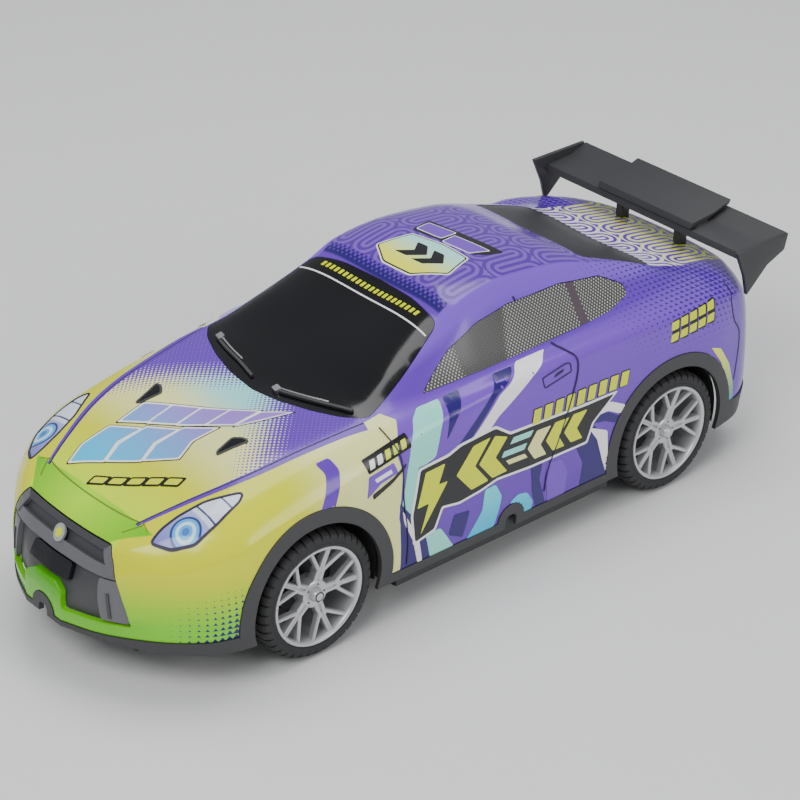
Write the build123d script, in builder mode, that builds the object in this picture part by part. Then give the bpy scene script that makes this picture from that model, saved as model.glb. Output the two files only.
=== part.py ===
"""Radio controlled drift car, about 1:18 scale.

Frame: +Z up, origin on the ground under the middle of the car's box.
The nose points along -Y and the car's left side is +X.  Millimetres.
"""
import os
from math import acos, cos, pi, radians, sin, sqrt, tan

from build123d import *

os.makedirs("parts", exist_ok=True)

# ---------------------------------------------------------------- overall sizes
wheelbase = 140.0
front_axle_y = -66.0
rear_axle_y = front_axle_y + wheelbase
tyre_radius = 20.0
tyre_wall = 4.25
axle_z = tyre_radius
rim_radius = tyre_radius - tyre_wall
rim_face_x = 49.0
wheel_width = 17.6
wheel_inner_x = rim_face_x - wheel_width

wall = 1.4
trim_proud = 0.35
arch_radius = 22.8
trim_arch_radius = 27.3
running = 0.05

# ---------------------------------------------------------------- small helpers


def finish(solid, name):
    """Label one finished piece and write its STEP file."""
    solid.label = name
    export_step(solid, f"parts/{name}.step")


def box_between(x0, x1, y0, y1, z0, z1):
    """A box stated by its two corners, made outside any builder context."""
    size = (x1 - x0, y1 - y0, z1 - z0)
    middle = ((x0 + x1) / 2, (y0 + y1) / 2, (z0 + z1) / 2)
    return Pos(*middle) * Box(*size, mode=Mode.PRIVATE)


def rod(radius, start, end):
    """A round bar between two points on a line along X, Y or Z."""
    a, b = Vector(*start), Vector(*end)
    plane = Plane(origin=(a + b) / 2, z_dir=(b - a).normalized())
    return plane * Cylinder(radius, (b - a).length, mode=Mode.PRIVATE)


# ---------------------------------------------------------------- body shape
# Cross-sections of the moulded body, nose to tail.  Each row holds (x, z) of the
# sill edge, the waist, the fender shoulder, the deck edge and the crown edge,
# then the height on the centre line.
stations = {
    -126.0: ((8, 16), (9, 22), (8, 25), (5, 26), (3, 26.6), 26.9),
    -122.0: ((19, 15.8), (20, 23), (17.5, 31), (12, 33.4), (6, 34), 34.4),
    -115.0: ((30, 14.5), (31.2, 24), (28.5, 38.5), (24, 43), (14, 44.6), 45.2),
    -107.0: ((39, 13.6), (40, 25), (38, 40), (31, 46.5), (16, 48.4), 48.8),
    -98.0: ((45, 13), (46.4, 25), (44, 43), (36.5, 49.8), (18, 51.8), 51.2),
    -86.0: ((48, 12.8), (49, 25), (47, 46), (39, 53.5), (20, 55.5), 54.6),
    -66.0: ((48.4, 12.8), (49, 25), (47, 49.5), (39.5, 57.5), (20, 60), 59),
    -48.0: ((48.2, 12.8), (49, 25), (46.8, 53), (38.5, 60.5), (20, 61.6), 60.9),
    -38.0: ((48.2, 12.8), (49, 25), (46.8, 54.8), (38, 61.8), (33, 63), 64.4),
    -22.0: ((48.2, 12.8), (49, 25), (46.6, 57.5), (39.5, 63.2), (31, 69.8), 70.9),
    -5.0: ((48.2, 12.8), (49, 25), (46.4, 59.4), (40, 63.6), (28.8, 77.2), 78.6),
    4.0: ((48.2, 12.8), (49, 25), (46.4, 60.2), (40.2, 63.8), (27.6, 81.8), 83.8),
    19.0: ((48.2, 12.8), (49, 25), (46.4, 60.6), (40.4, 63.8), (27, 83.4), 86.2),
    41.0: ((48.2, 12.8), (49, 25), (46.6, 61), (40.4, 63.9), (26.6, 81.3), 84.2),
    57.0: ((48.4, 12.8), (49.2, 25), (47, 61), (39.6, 63.9), (27, 76.6), 77.8),
    75.0: ((48.4, 12.8), (49.2, 25), (47.6, 60.6), (38, 63.6), (28, 70.4), 70.9),
    90.0: ((48.2, 12.8), (49, 25), (47.4, 60), (37, 62.8), (29, 64.6), 64.0),
    104.0: ((47, 13.6), (47.8, 25), (45, 57.5), (37, 61), (20, 61.6), 62.0),
    113.0: ((42, 15.5), (43.5, 25), (41, 54), (33, 59), (18, 59.8), 60.2),
    119.0: ((33, 16), (35, 25), (30, 52), (24, 57), (14, 58.2), 58.5),
    121.5: ((18, 17), (22, 25), (17, 46), (12, 50), (6, 52), 52.4),
}
nose_ends_y = front_axle_y - 1
tail_starts_y = rear_axle_y + 1


def section_points(row, inset, drop):
    """One closed outline of the body, moved inwards by inset."""
    *edge, crown = row
    sill, waist, shoulder, *upper = edge
    half = [
        (sill[0] - inset, sill[1] - drop),
        (waist[0] - inset, waist[1]),
        (shoulder[0] - inset, shoulder[1] - inset * 0.4),
    ]
    half += [(x - inset * 0.5, z - inset) for x, z in upper]
    return half + [(0, crown - inset)] + [(-x, z) for x, z in reversed(half)]


def body_solid(inset=0.0, drop=0.0):
    """The filled body, or with an inset the room inside its wall."""
    with BuildPart() as hull:
        for y, row in stations.items():
            shift = inset if y < nose_ends_y else -inset if y > tail_starts_y else 0
            with BuildSketch(Plane.XZ.offset(-(y + shift))):
                with BuildLine():
                    Polyline(*section_points(row, inset, drop), close=True)
                make_face()
        loft(ruled=True)
    return hull.part


def prism(points, plane, start, end):
    """A straight prism over an outline drawn on a named plane."""
    with BuildPart() as block:
        with BuildSketch(plane.offset(start)):
            with BuildLine():
                Polyline(*points, close=True)
            make_face()
        extrude(amount=end - start)
    return block.part


outer_body = body_solid()
proud_body = body_solid(-trim_proud)
inner_body = body_solid(wall, drop=6.0)
skin = outer_body - inner_body
proud_skin = proud_body - inner_body

# ---------------------------------------------------------------- openings in the body
windscreen_half = [
    (0, -50.4), (12, -49.4), (22, -47.0), (31, -43.2), (36.2, -39.2), (28.2, -5.2), (15, -3.4), (0, -2.8)
]
windscreen_outline = windscreen_half + [(-x, y) for x, y in reversed(windscreen_half[1:-1])]
rear_window_outline = [(-25, 57.5), (25, 57.5), (26, 86), (-26, 86)]
side_window_outline = [
    (-19, 64.4), (56, 64.6), (66, 66.2), (66, 69.2), (57, 74.4), (41, 79.4), (19, 81.6), (4, 79.8), (-3.5, 75.5)
]
grille_half = [
    (19.8, 44.0), (22.8, 40.0), (25.6, 33.0), (27.6, 27.0), (28.8, 21.4), (7.4, 21.4), (7.4, 25.2), (3.6, 28.4)
]
grille_outline = grille_half + [(-x, z) for x, z in reversed(grille_half)]
headlight_outline = [(27.5, -110.5), (34, -105), (37.5, -83.5), (42.5, -90), (43.5, -99), (38, -107)]
taillight_outline = [(20, 42), (34.5, 41.5), (36.5, 52), (24, 54)]
roof_reach = 95.0
lamp_floor_z = 39.0
wing_mount_x = 13.0


def along_z(points, start=30.0):
    """Prism standing on a plan outline."""
    return prism(points, Plane.XY, start, roof_reach)


def along_x(points, start, end):
    """Prism over a side view outline (y, z), between two values of x."""
    return prism(points, Plane.YZ, start, end)


def along_y(points, start, end):
    """Prism over a front view outline (x, z), between two values of y."""
    flipped = Plane(origin=(0, 0, 0), x_dir=(1, 0, 0), z_dir=(0, -1, 0))
    return prism(points, flipped, -end, -start)


def mirrored(points):
    """The same outline on the other side of the car."""
    return [(-x, other) for x, other in points]


side_cut = {
    "left": along_x(side_window_outline, 27.6, 60),
    "right": along_x(side_window_outline, -60, -27.6),
}
headlight_cut = {
    "left": along_z(headlight_outline, lamp_floor_z),
    "right": along_z(mirrored(headlight_outline), lamp_floor_z),
}
taillight_cut = {
    "left": along_y(taillight_outline, 106, 130),
    "right": along_y(mirrored(taillight_outline), 106, 130),
}
windscreen_cut = along_z(windscreen_outline, 50.0)
rear_window_cut = along_z(rear_window_outline, 60.0)
grille_cut = along_y(grille_outline, -130, -98)

# The unpainted frame: sills, lip, rear valance, arch lips and their clip bosses.
boss_radius = 5.2
boss_y = 7.5
boss_slot = 4.3
sill_top = 15.8
lip_top = 17.6
valance_top = 21.0
arch_cuts = [rod(arch_radius, (-60, y, axle_z), (60, y, axle_z)) for y in (front_axle_y, rear_axle_y)]
trim_region = (
    box_between(-60, 60, -130, 130, 0, sill_top)
    + box_between(-60, 60, -130, front_axle_y - 10, 0, lip_top)
    + box_between(-60, 60, rear_axle_y + 10, 130, 0, valance_top)
    + [rod(trim_arch_radius, (-60, y, axle_z), (60, y, axle_z)) for y in (front_axle_y, rear_axle_y)]
    + rod(boss_radius, (-60, boss_y, sill_top), (60, boss_y, sill_top))
    + rod(boss_radius, (0, -130, lip_top), (0, -110, lip_top))
)
boss_slots = box_between(-60, 60, boss_y - boss_slot / 2, boss_y + boss_slot / 2, 0, sill_top + 1.4)
strut_feet = [
    box_between(x - 1.6, x + 1.6, 110.2, 114.2, 50, 70) for x in (-wing_mount_x, wing_mount_x)
]

openings = [windscreen_cut, rear_window_cut, grille_cut]
openings += list(side_cut.values()) + list(headlight_cut.values()) + list(taillight_cut.values())

body_shell = skin - arch_cuts - trim_region - openings
body_shell -= [foot & box_between(-20, 20, 100, 120, 50, 80) for foot in strut_feet]
finish(body_shell, "body_shell")

lower_trim = (proud_skin & trim_region) - arch_cuts - boss_slots - grille_cut
finish(lower_trim, "lower_trim")

finish(skin & windscreen_cut, "windscreen")
finish(skin & rear_window_cut, "rear_window")
finish((skin & grille_cut) - trim_region, "front_grille")
for side in ("left", "right"):
    finish(skin & side_cut[side], f"side_window_{side}")
    finish(skin & headlight_cut[side], f"headlight_{side}")
    finish(skin & taillight_cut[side], f"taillight_{side}")
print("body done", body_shell.is_valid, len(body_shell.solids()), lower_trim.is_valid, len(lower_trim.solids()))

# ---------------------------------------------------------------- small pieces on the body
raised_body = body_solid(-0.9)
raised_skin = raised_body - outer_body
badge_skin = proud_body - outer_body
vent_outline = [(17.6, -69.5), (18.6, -76), (20.4, -81), (22.4, -76), (23.4, -69.5), (20.5, -68.6)]
vents = along_z(vent_outline) + along_z(mirrored(vent_outline))
finish(badge_skin & vents, "bonnet_vents")

wiper_outlines = [
    [(-26, -37.4), (-25.4, -36.2), (-1.5, -40.2), (-1.5, -41.6)],
    [(3, -39.6), (3.4, -38.2), (27, -33.6), (27, -35)],
]
wiper_cut = [along_z(outline) for outline in wiper_outlines]
finish(raised_skin & (wiper_cut[0] + wiper_cut[1]), "wipers")

# ---------------------------------------------------------------- rear wing
wing_half_span = 45.2
endplate_thickness = 1.4
wing_step_x = 21.0
wing_step = 2.4
blade_profile = [(108, 66.6), (113, 66.9), (125.6, 70.2), (126.4, 71.6), (119, 69.4), (109, 68.6)]
strut_top = 67.2

with BuildPart() as wing_blade:
    with BuildSketch(Plane.YZ.offset(-wing_half_span)):
        with BuildLine():
            Polyline(*blade_profile, close=True)
        make_face()
    extrude(amount=2 * wing_half_span)
    with BuildSketch(Plane.YZ.offset(-wing_step_x)):
        with BuildLine():
            Polyline(*[(y + 0.4, z + wing_step) for y, z in blade_profile], close=True)
        make_face()
    extrude(amount=2 * wing_step_x)
    with BuildSketch(Plane.YZ.offset(-wing_step_x)):
        with Locations((114, 69.2)):
            Rectangle(5, 2.4)
    extrude(amount=2 * wing_step_x)
finish(wing_blade.part, "wing_blade")

endplate_outline = [(102.8, 71.8), (126, 71.8), (124.6, 66.5), (117, 63.5), (108.4, 55.8), (106.6, 63)]
for side, start in (("left", wing_half_span), ("right", -wing_half_span - endplate_thickness)):
    finish(along_x(endplate_outline, start, start + endplate_thickness), f"wing_endplate_{side}")

strut_outline = [(110.4, 55), (114, 55), (114.6, strut_top), (111, strut_top)]
struts = along_x(strut_outline, wing_mount_x - 1.4, wing_mount_x + 1.4)
struts += along_x(strut_outline, -wing_mount_x - 1.4, -wing_mount_x + 1.4)
wing_struts = (struts - wing_blade.part) - outer_body
finish(wing_struts, "wing_struts")

# ---------------------------------------------------------------- chassis
floor_z = 9.0
floor = 1.6
floor_top = floor_z + floor
tub_wall_top = 19.0
waist_half = 46.4
steer_half = 21.0
rear_half = 29.0
nose_half = 24.0
tub_nose_y = -112.0
tub_tail_y = 112.0
wheel_gap = 4.0
steer_gap = 8.5
front_zone = (front_axle_y - tyre_radius - steer_gap, front_axle_y + tyre_radius + steer_gap)
rear_zone = (rear_axle_y - tyre_radius - wheel_gap, rear_axle_y + tyre_radius + wheel_gap)
tub_outline = [
    (nose_half, tub_nose_y), (nose_half, front_zone[0]), (steer_half, front_zone[0] + 2),
    (steer_half, front_zone[1] - 2), (waist_half, front_zone[1] + 2), (waist_half, rear_zone[0]),
    (rear_half, rear_zone[0] + 0.5), (rear_half, tub_tail_y),
]
tub_outline += [(-x, y) for x, y in reversed(tub_outline)]

# The drive train sits in the middle of the rear deck.
gear_module = 0.6
pressure_angle = radians(25)
addendum = 0.8 * gear_module
dedendum = 1.1 * gear_module
backlash = 0.14
axle_teeth, idler_small_teeth, idler_big_teeth, pinion_teeth = 32, 12, 30, 10
idler_angle = 180 - 15
motor_angle = 180 - 20
idler_distance = gear_module * (axle_teeth + idler_small_teeth) / 2
motor_distance = gear_module * (idler_big_teeth + pinion_teeth) / 2
idler_y = rear_axle_y + idler_distance * cos(radians(idler_angle))
idler_z = axle_z + idler_distance * sin(radians(idler_angle))
motor_y = idler_y + motor_distance * cos(radians(motor_angle))
motor_z = idler_z + motor_distance * sin(radians(motor_angle))
slow_gear_x = (6.2, 10.0)
fast_gear_x = (11.0, 14.0)
case_x = (4.8, 15.9)
case_wall = 1.0
case_split_x = 10.5
motor_length = 25.0
motor_radius = 10.0
motor_half_flat = 7.7

battery_cell_radius = 7.1
battery_cell_length = 50.5
battery_count = 4
battery_pitch = 2 * battery_cell_radius + 0.2
bay_x = battery_count * battery_pitch / 2 + 0.9
bay_y = (-34.0, 18.6)
cover_lip = 1.2
cover_screw_y = bay_y[1] - 4.6

post_positions = [(16, -98), (-16, -98), (16, 100), (-16, 100)]
post_radius = 3.2
screw_radius = 1.3
screw_head_radius = 2.4
screw_head = 0.6
post_tops = {-98: 50.3 - wall, 100: 60.3 - wall}

switch_x, switch_y, switch_travel = 38.0, 30.0, 3.5
knob_size = (2.8, 2.4)
trim_lever_y = -88.0
trim_pivot_radius = 1.2
motor_cradle_x = (-18.0, -3.0)

with BuildPart() as chassis:
    with BuildSketch(Plane.XY.offset(floor_z)):
        with BuildLine():
            Polyline(*tub_outline, close=True)
        make_face()
    extrude(amount=floor)
    with BuildSketch(Plane.XY.offset(floor_top)):
        with BuildLine():
            Polyline(*tub_outline, close=True)
        make_face()
        offset(amount=-wall, mode=Mode.SUBTRACT)
    extrude(amount=tub_wall_top - floor_top)
    # bay ring, circuit board posts and motor cradle
    with BuildSketch(Plane.XY.offset(floor_top)):
        with Locations((0, sum(bay_y) / 2)):
            Rectangle(2 * bay_x + 2 * wall, bay_y[1] - bay_y[0] + 2 * wall)
            Rectangle(2 * bay_x, bay_y[1] - bay_y[0], mode=Mode.SUBTRACT)
    extrude(amount=10)
    with BuildSketch(Plane.XY.offset(floor_top)):
        with Locations((-19, 24), (19, 24), (-19, 38), (19, 38)):
            Circle(1.8)
    extrude(amount=2.4)
    with BuildSketch(Plane.XY.offset(floor_top)):
        with Locations((sum(motor_cradle_x) / 2, motor_y)):
            Rectangle(motor_cradle_x[1] - motor_cradle_x[0], 9)
    extrude(amount=motor_z - motor_half_flat - floor_top)
    # battery door opening with the step that the cover lies in
    with BuildSketch(Plane.XY.offset(floor_z)):
        with Locations((0, sum(bay_y) / 2)):
            Rectangle(2 * bay_x - 2 * cover_lip, bay_y[1] - bay_y[0] - 2 * cover_lip)
    extrude(amount=floor, mode=Mode.SUBTRACT)
    # clearance for the gear case, the switch knob, the trim pivot and the screws
    with BuildSketch(Plane.XY.offset(floor_z)):
        with Locations(((case_x[0] + case_x[1]) / 2, rear_axle_y - 6)):
            Rectangle(case_x[1] - case_x[0] + 0.6, 38)
        with Locations((switch_x, switch_y + switch_travel / 2)):
            Rectangle(knob_size[0] + 0.8, knob_size[1] + switch_travel + 0.8)
        with Locations((0, trim_lever_y)):
            Circle(trim_pivot_radius + running)
        with Locations(*post_positions):
            Circle(screw_radius + 0.2)
    extrude(amount=floor, mode=Mode.SUBTRACT)
axle_slots = box_between(-31, 31, rear_axle_y - 2.4, rear_axle_y + 2.4, axle_z - 2.4, tub_wall_top + 1)
chassis_tub = chassis.part - axle_slots
steer_window = box_between(-40, 40, front_axle_y - 9, front_axle_y + 13, floor_top + 0.0, tub_wall_top + 1)
chassis_tub -= steer_window
finish(chassis_tub, "chassis_tub")

cover_gap = 0.2
finish(
    box_between(
        -bay_x + cover_lip + cover_gap, bay_x - cover_lip - cover_gap,
        bay_y[0] + cover_lip + cover_gap, bay_y[1] - cover_lip - cover_gap, floor_z, floor_top,
    )
    - rod(screw_radius, (0, cover_screw_y, floor_z - 1), (0, cover_screw_y, floor_top + 1))
    - rod(screw_head_radius + 0.2, (0, cover_screw_y, floor_z - 1), (0, cover_screw_y, floor_z + screw_head)),
    "battery_cover",
)

with BuildPart() as cells:
    first = -(battery_count - 1) * battery_pitch / 2
    with BuildSketch(Plane.XZ.offset(-bay_y[0] - 1)):
        with Locations(*[
            (first + i * battery_pitch, floor_top + 0.2 + battery_cell_radius) for i in range(battery_count)
        ]):
            Circle(battery_cell_radius)
    extrude(amount=-battery_cell_length)
finish(cells.part, "battery_cells")


def screw(x, y, head_z, length):
    """A screw driven upwards: a flat head below head_z and its shank."""
    body = rod(screw_head_radius, (x, y, head_z - screw_head), (x, y, head_z))
    return body + rod(screw_radius, (x, y, head_z), (x, y, head_z + length))


finish(screw(0, cover_screw_y, floor_z + screw_head, floor - screw_head - 0.05), "battery_cover_screw")

posts = [
    rod(post_radius, (x, y, floor_top), (x, y, post_tops[y]))
    - rod(screw_radius, (x, y, floor_top - 1), (x, y, floor_top + 12))
    for x, y in post_positions
]
finish(Compound(children=posts), "body_posts")
screws = [screw(x, y, floor_z, 10) for x, y in post_positions]
finish(Compound(children=screws), "body_screws")

with BuildPart() as board:
    with BuildSketch(Plane.XY.offset(floor_top + 2.4)):
        with Locations((0, 31)):
            Rectangle(44, 21)
    extrude(amount=1.2)
    with BuildSketch(Plane.XY.offset(floor_top + 3.6)):
        with Locations((-9, 31)):
            Rectangle(9, 9)
        with Locations((8, 28), (8, 35)):
            Rectangle(6, 4)
    extrude(amount=1.4)
finish(board.part, "circuit_board")

# ---------------------------------------------------------------- switch and trim lever
housing_half = (4.2, 6.0)
housing = box_between(
    switch_x - housing_half[0], switch_x + housing_half[0],
    switch_y + switch_travel / 2 - housing_half[1], switch_y + switch_travel / 2 + housing_half[1],
    floor_top, floor_top + 4.4,
)
cavity = box_between(
    switch_x - 2.2, switch_x + 2.2, switch_y - 1.8, switch_y + switch_travel + 1.8, floor_top - 1, floor_top + 3.0
)
finish(housing - cavity, "switch_housing")
finish(
    box_between(
        switch_x - knob_size[0] / 2, switch_x + knob_size[0] / 2,
        switch_y - knob_size[1] / 2, switch_y + knob_size[1] / 2, floor_z - 0.8, floor_top + 2.7,
    ),
    "power_switch",
)

lever_z = floor_z - 0.2
with BuildPart() as lever:
    with BuildSketch(Plane.XY.offset(lever_z - 0.9)):
        with Locations((0, trim_lever_y)):
            Circle(3.6)
        with Locations((0, trim_lever_y - 5)):
            Rectangle(2.2, 6)
    extrude(amount=0.9)
    with BuildSketch(Plane.XY.offset(lever_z)):
        with Locations((0, trim_lever_y)):
            Circle(trim_pivot_radius)
    extrude(amount=2.6)
finish(lever.part, "steering_trim_lever")

# ---------------------------------------------------------------- gears


def involute(angle):
    """The involute function."""
    return tan(angle) - angle


def gear_points(teeth, tooth_at):
    """Outline of an involute gear with a tooth centred on one direction (radians)."""
    pitch = gear_module * teeth / 2
    base = pitch * cos(pressure_angle)
    tip, root = pitch + addendum, pitch - dedendum
    half_tooth = (pi * gear_module / 2 - backlash) / (2 * pitch) + involute(pressure_angle)
    start = max(base, root)
    flank = [(root, half_tooth)] if root < base else []
    steps = 4
    for i in range(steps + 1):
        r = start + (tip - start) * i / steps
        flank.append((r, half_tooth - involute(acos(min(1.0, base / r)))))
    points = []
    for n in range(teeth):
        middle = tooth_at + 2 * pi * n / teeth
        side = [(r, -a) for r, a in flank] + [(r, a) for r, a in reversed(flank)]
        points += [(r * cos(middle + a), r * sin(middle + a)) for r, a in side]
    return points


def gear(teeth, tooth_at, centre, x_range, bore):
    """A spur gear with its axis along X."""
    with BuildPart() as wheel:
        with BuildSketch(Plane(origin=(x_range[0], *centre), x_dir=(0, 1, 0), z_dir=(1, 0, 0))):
            with BuildLine():
                Polyline(*gear_points(teeth, tooth_at), close=True)
            make_face()
            Circle(bore, mode=Mode.SUBTRACT)
        extrude(amount=x_range[1] - x_range[0])
    return wheel.part


to_idler, to_motor = radians(idler_angle), radians(motor_angle)
axle_radius = 1.5
idler_pin_radius = 1.0
motor_shaft_radius = 1.0
idler_centre, motor_centre = (idler_y, idler_z), (motor_y, motor_z)
axle_centre = (rear_axle_y, axle_z)

finish(gear(axle_teeth, to_idler, axle_centre, slow_gear_x, axle_radius), "axle_gear")
idler = gear(
    idler_small_teeth, to_idler + pi + pi / idler_small_teeth, idler_centre,
    (slow_gear_x[0], fast_gear_x[0]), idler_pin_radius + running,
)
idler += gear(idler_big_teeth, to_motor, idler_centre, fast_gear_x, idler_pin_radius + running)
finish(idler, "idler_gear")
finish(
    gear(pinion_teeth, to_motor + pi + pi / pinion_teeth, motor_centre, fast_gear_x, motor_shaft_radius),
    "motor_pinion",
)
finish(
    rod(motor_shaft_radius, (case_x[0] - 3.0, *motor_centre), (fast_gear_x[1], *motor_centre)),
    "motor_shaft",
)

with BuildPart() as motor:
    with BuildSketch(Plane(origin=(case_x[0] - motor_length, *motor_centre), x_dir=(0, 1, 0), z_dir=(1, 0, 0))):
        Circle(motor_radius)
        Rectangle(2 * motor_radius, 2 * motor_half_flat, mode=Mode.INTERSECT)
    extrude(amount=motor_length)
shaft_bore = rod(motor_shaft_radius + running, (case_x[0] - 3.2, *motor_centre), (case_x[1], *motor_centre))
finish(motor.part - shaft_bore, "drive_motor")

# ---------------------------------------------------------------- gear case
bearing_radius = 3.6
big_tip = gear_module * idler_big_teeth / 2 + addendum
slow_tip = gear_module * axle_teeth / 2 + addendum
case_gap = 0.8
case_outline_rounds = [
    (axle_centre, slow_tip + case_gap), (idler_centre, big_tip + case_gap), (motor_centre, 5.2)
]


def case_block(grow, x0, x1):
    """Round-ended block that follows the three gear centres."""
    rounds = [rod(r + grow, (x0, *centre), (x1, *centre)) for centre, r in case_outline_rounds]
    block = rounds[0] + rounds[1] + rounds[2]
    bridge = [
        (rear_axle_y, axle_z + slow_tip + case_gap + grow), (rear_axle_y, axle_z - slow_tip - case_gap - grow),
        (idler_y, idler_z - big_tip - case_gap - grow), (motor_y, motor_z - 5.2 - grow),
        (motor_y, motor_z + 5.2 + grow), (idler_y, idler_z + big_tip + case_gap + grow),
    ]
    return block + along_x(bridge, x0, x1)


case_body = case_block(case_wall, case_x[0], case_x[1])
case_room = case_block(0, case_x[0] + case_wall, case_x[1] - case_wall)
case_shell = case_body - case_room
case_shell -= rod(bearing_radius, (0, *axle_centre), (20, *axle_centre))
case_shell -= rod(idler_pin_radius, (0, *idler_centre), (20, *idler_centre))
case_shell -= rod(motor_shaft_radius + 0.4, (0, *motor_centre), (case_split_x, *motor_centre))
finish(case_shell & box_between(0, case_split_x, 0, 120, 0, 60), "gear_case")
finish(case_shell & box_between(case_split_x, 20, 0, 120, 0, 60), "gear_cover")
finish(rod(idler_pin_radius, (case_x[0], *idler_centre), (case_x[1], *idler_centre)), "idler_pin")

bearing_width = case_wall
bearings = [
    rod(bearing_radius, (x, *axle_centre), (x + bearing_width, *axle_centre))
    - rod(axle_radius + running, (x - 1, *axle_centre), (x + 3, *axle_centre))
    for x in (case_x[0], case_x[1] - case_wall)
]
finish(Compound(children=bearings), "axle_bearings")

outrigger_x = rear_half - wall - 3.0
carriers = []
for s in (1, -1):
    x0, x1 = sorted((s * outrigger_x, s * (outrigger_x + 2.4)))
    carriers.append(
        box_between(x0, x1, rear_axle_y - 4.5, rear_axle_y + 4.5, floor_top, axle_z + 4.5)
        - rod(axle_radius + running, (x0 - 1, *axle_centre), (x1 + 1, *axle_centre))
    )
finish(Compound(children=carriers), "axle_carriers")

# ---------------------------------------------------------------- wheels
hub_radius = 4.2
hub_x = (41.0, 47.5)
barrel_outer = rim_radius - 0.75
barrel_inner = barrel_outer - 0.8
lip = 1.0
spoke_x = (45.0, 47.5)
spoke_pairs = 5
spoke_width = 2.0
spoke_spread = 15.0
spoke_foot = 2.6
spoke_seat = 0.6

rim_section = [
    (wheel_inner_x, barrel_inner), (wheel_inner_x, rim_radius), (wheel_inner_x + lip, rim_radius),
    (wheel_inner_x + lip, barrel_outer), (rim_face_x - lip - 0.4, barrel_outer),
    (rim_face_x - lip - 0.4, rim_radius), (rim_face_x, rim_radius), (rim_face_x, barrel_inner + 0.5),
    (rim_face_x - 2.4, barrel_inner),
]
tyre_fit = 0.05
tyre_side = rim_face_x - 0.5
tyre_back = wheel_inner_x - 0.2
seat0, seat1 = wheel_inner_x + lip + 0.1, rim_face_x - lip - 0.5
tyre_section = [
    (seat0, barrel_outer + tyre_fit), (seat1, barrel_outer + tyre_fit), (seat1, rim_radius + tyre_fit),
    (tyre_side - 0.3, rim_radius + 0.4), (tyre_side, tyre_radius - 2.4), (tyre_side - 0.9, tyre_radius - 0.5),
    (tyre_side - 2.4, tyre_radius), (tyre_back + 2.4, tyre_radius), (tyre_back + 0.9, tyre_radius - 0.5),
    (tyre_back, tyre_radius - 2.4), (tyre_back + 0.3, rim_radius + 0.4), (seat0, rim_radius + tyre_fit),
]


def turned(section, y):
    """Revolve an (x, radius) section about the axle at y."""
    with BuildPart() as ring:
        with BuildSketch(Plane(origin=(0, y, axle_z), z_dir=(0, -1, 0), x_dir=(1, 0, 0))):
            with BuildLine():
                Polyline(*section, close=True)
            make_face()
        revolve(axis=Axis((0, y, axle_z), (1, 0, 0)))
    return ring.part


def spokes(y):
    """Five pairs of bars from the hub to the barrel."""
    with BuildPart() as bars:
        with BuildSketch(Plane(origin=(spoke_x[0], y, axle_z), x_dir=(0, 1, 0), z_dir=(1, 0, 0))):
            head_r = barrel_inner + spoke_seat
            for k in range(spoke_pairs):
                for lean in (-spoke_spread, spoke_spread):
                    turn = 90 + 360 * k / spoke_pairs
                    foot = (spoke_foot * cos(radians(turn)), spoke_foot * sin(radians(turn)))
                    head_at = radians(turn + lean)
                    head = (head_r * cos(head_at), head_r * sin(head_at))
                    run = (head[0] - foot[0], head[1] - foot[1])
                    length = sqrt(run[0] ** 2 + run[1] ** 2)
                    across = (-run[1] / length * spoke_width / 2, run[0] / length * spoke_width / 2)
                    with BuildLine():
                        Polyline(
                            (foot[0] + across[0], foot[1] + across[1]),
                            (head[0] + across[0], head[1] + across[1]),
                            (head[0] - across[0], head[1] - across[1]),
                            (foot[0] - across[0], foot[1] - across[1]),
                            close=True,
                        )
                    make_face()
        extrude(amount=spoke_x[1] - spoke_x[0])
    return bars.part


def wheel_rim(y, bore):
    """Barrel, spokes and hub of the left wheel on one axle."""
    hub = rod(hub_radius, (hub_x[0], y, axle_z), (hub_x[1], y, axle_z))
    disc = spokes(y) & rod(barrel_inner + 0.4, (40, y, axle_z), (50, y, axle_z))
    return (turned(rim_section, y) + disc + hub) - rod(bore, (40, y, axle_z), (50, y, axle_z))


def nut(y, x0, x1, radius=2.7):
    """Hexagon nut on the left end of an axle."""
    with BuildPart() as hexagon:
        with BuildSketch(Plane(origin=(x0, y, axle_z), x_dir=(0, 1, 0), z_dir=(1, 0, 0))):
            RegularPolygon(radius, 6)
            Circle(axle_radius, mode=Mode.SUBTRACT)
        extrude(amount=x1 - x0)
    return hexagon.part


nut_x = (hub_x[1] + 0.2, rim_face_x + 0.2)
for end, y, bore in (("front", front_axle_y, axle_radius + running), ("rear", rear_axle_y, axle_radius)):
    rim_left, tyre_left = wheel_rim(y, bore), turned(tyre_section, y)
    finish(rim_left, f"{end}_rim_left")
    finish(rim_left.mirror(Plane.YZ), f"{end}_rim_right")
    finish(tyre_left, f"{end}_tyre_left")
    finish(tyre_left.mirror(Plane.YZ), f"{end}_tyre_right")
front_nut = nut(front_axle_y, *nut_x)
finish(front_nut, "front_nut_left")
finish(front_nut.mirror(Plane.YZ), "front_nut_right")
rear_nut = nut(rear_axle_y, hub_x[1], nut_x[1])
finish(Compound(children=[rear_nut, rear_nut.mirror(Plane.YZ)]), "rear_nuts")
driver = nut(rear_axle_y, hub_x[0] - 2.2, hub_x[0], 3.4)
finish(Compound(children=[driver, driver.mirror(Plane.YZ)]), "rear_wheel_drivers")
finish(rod(axle_radius, (-rim_face_x, *axle_centre), (rim_face_x, *axle_centre)), "rear_axle")

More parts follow.
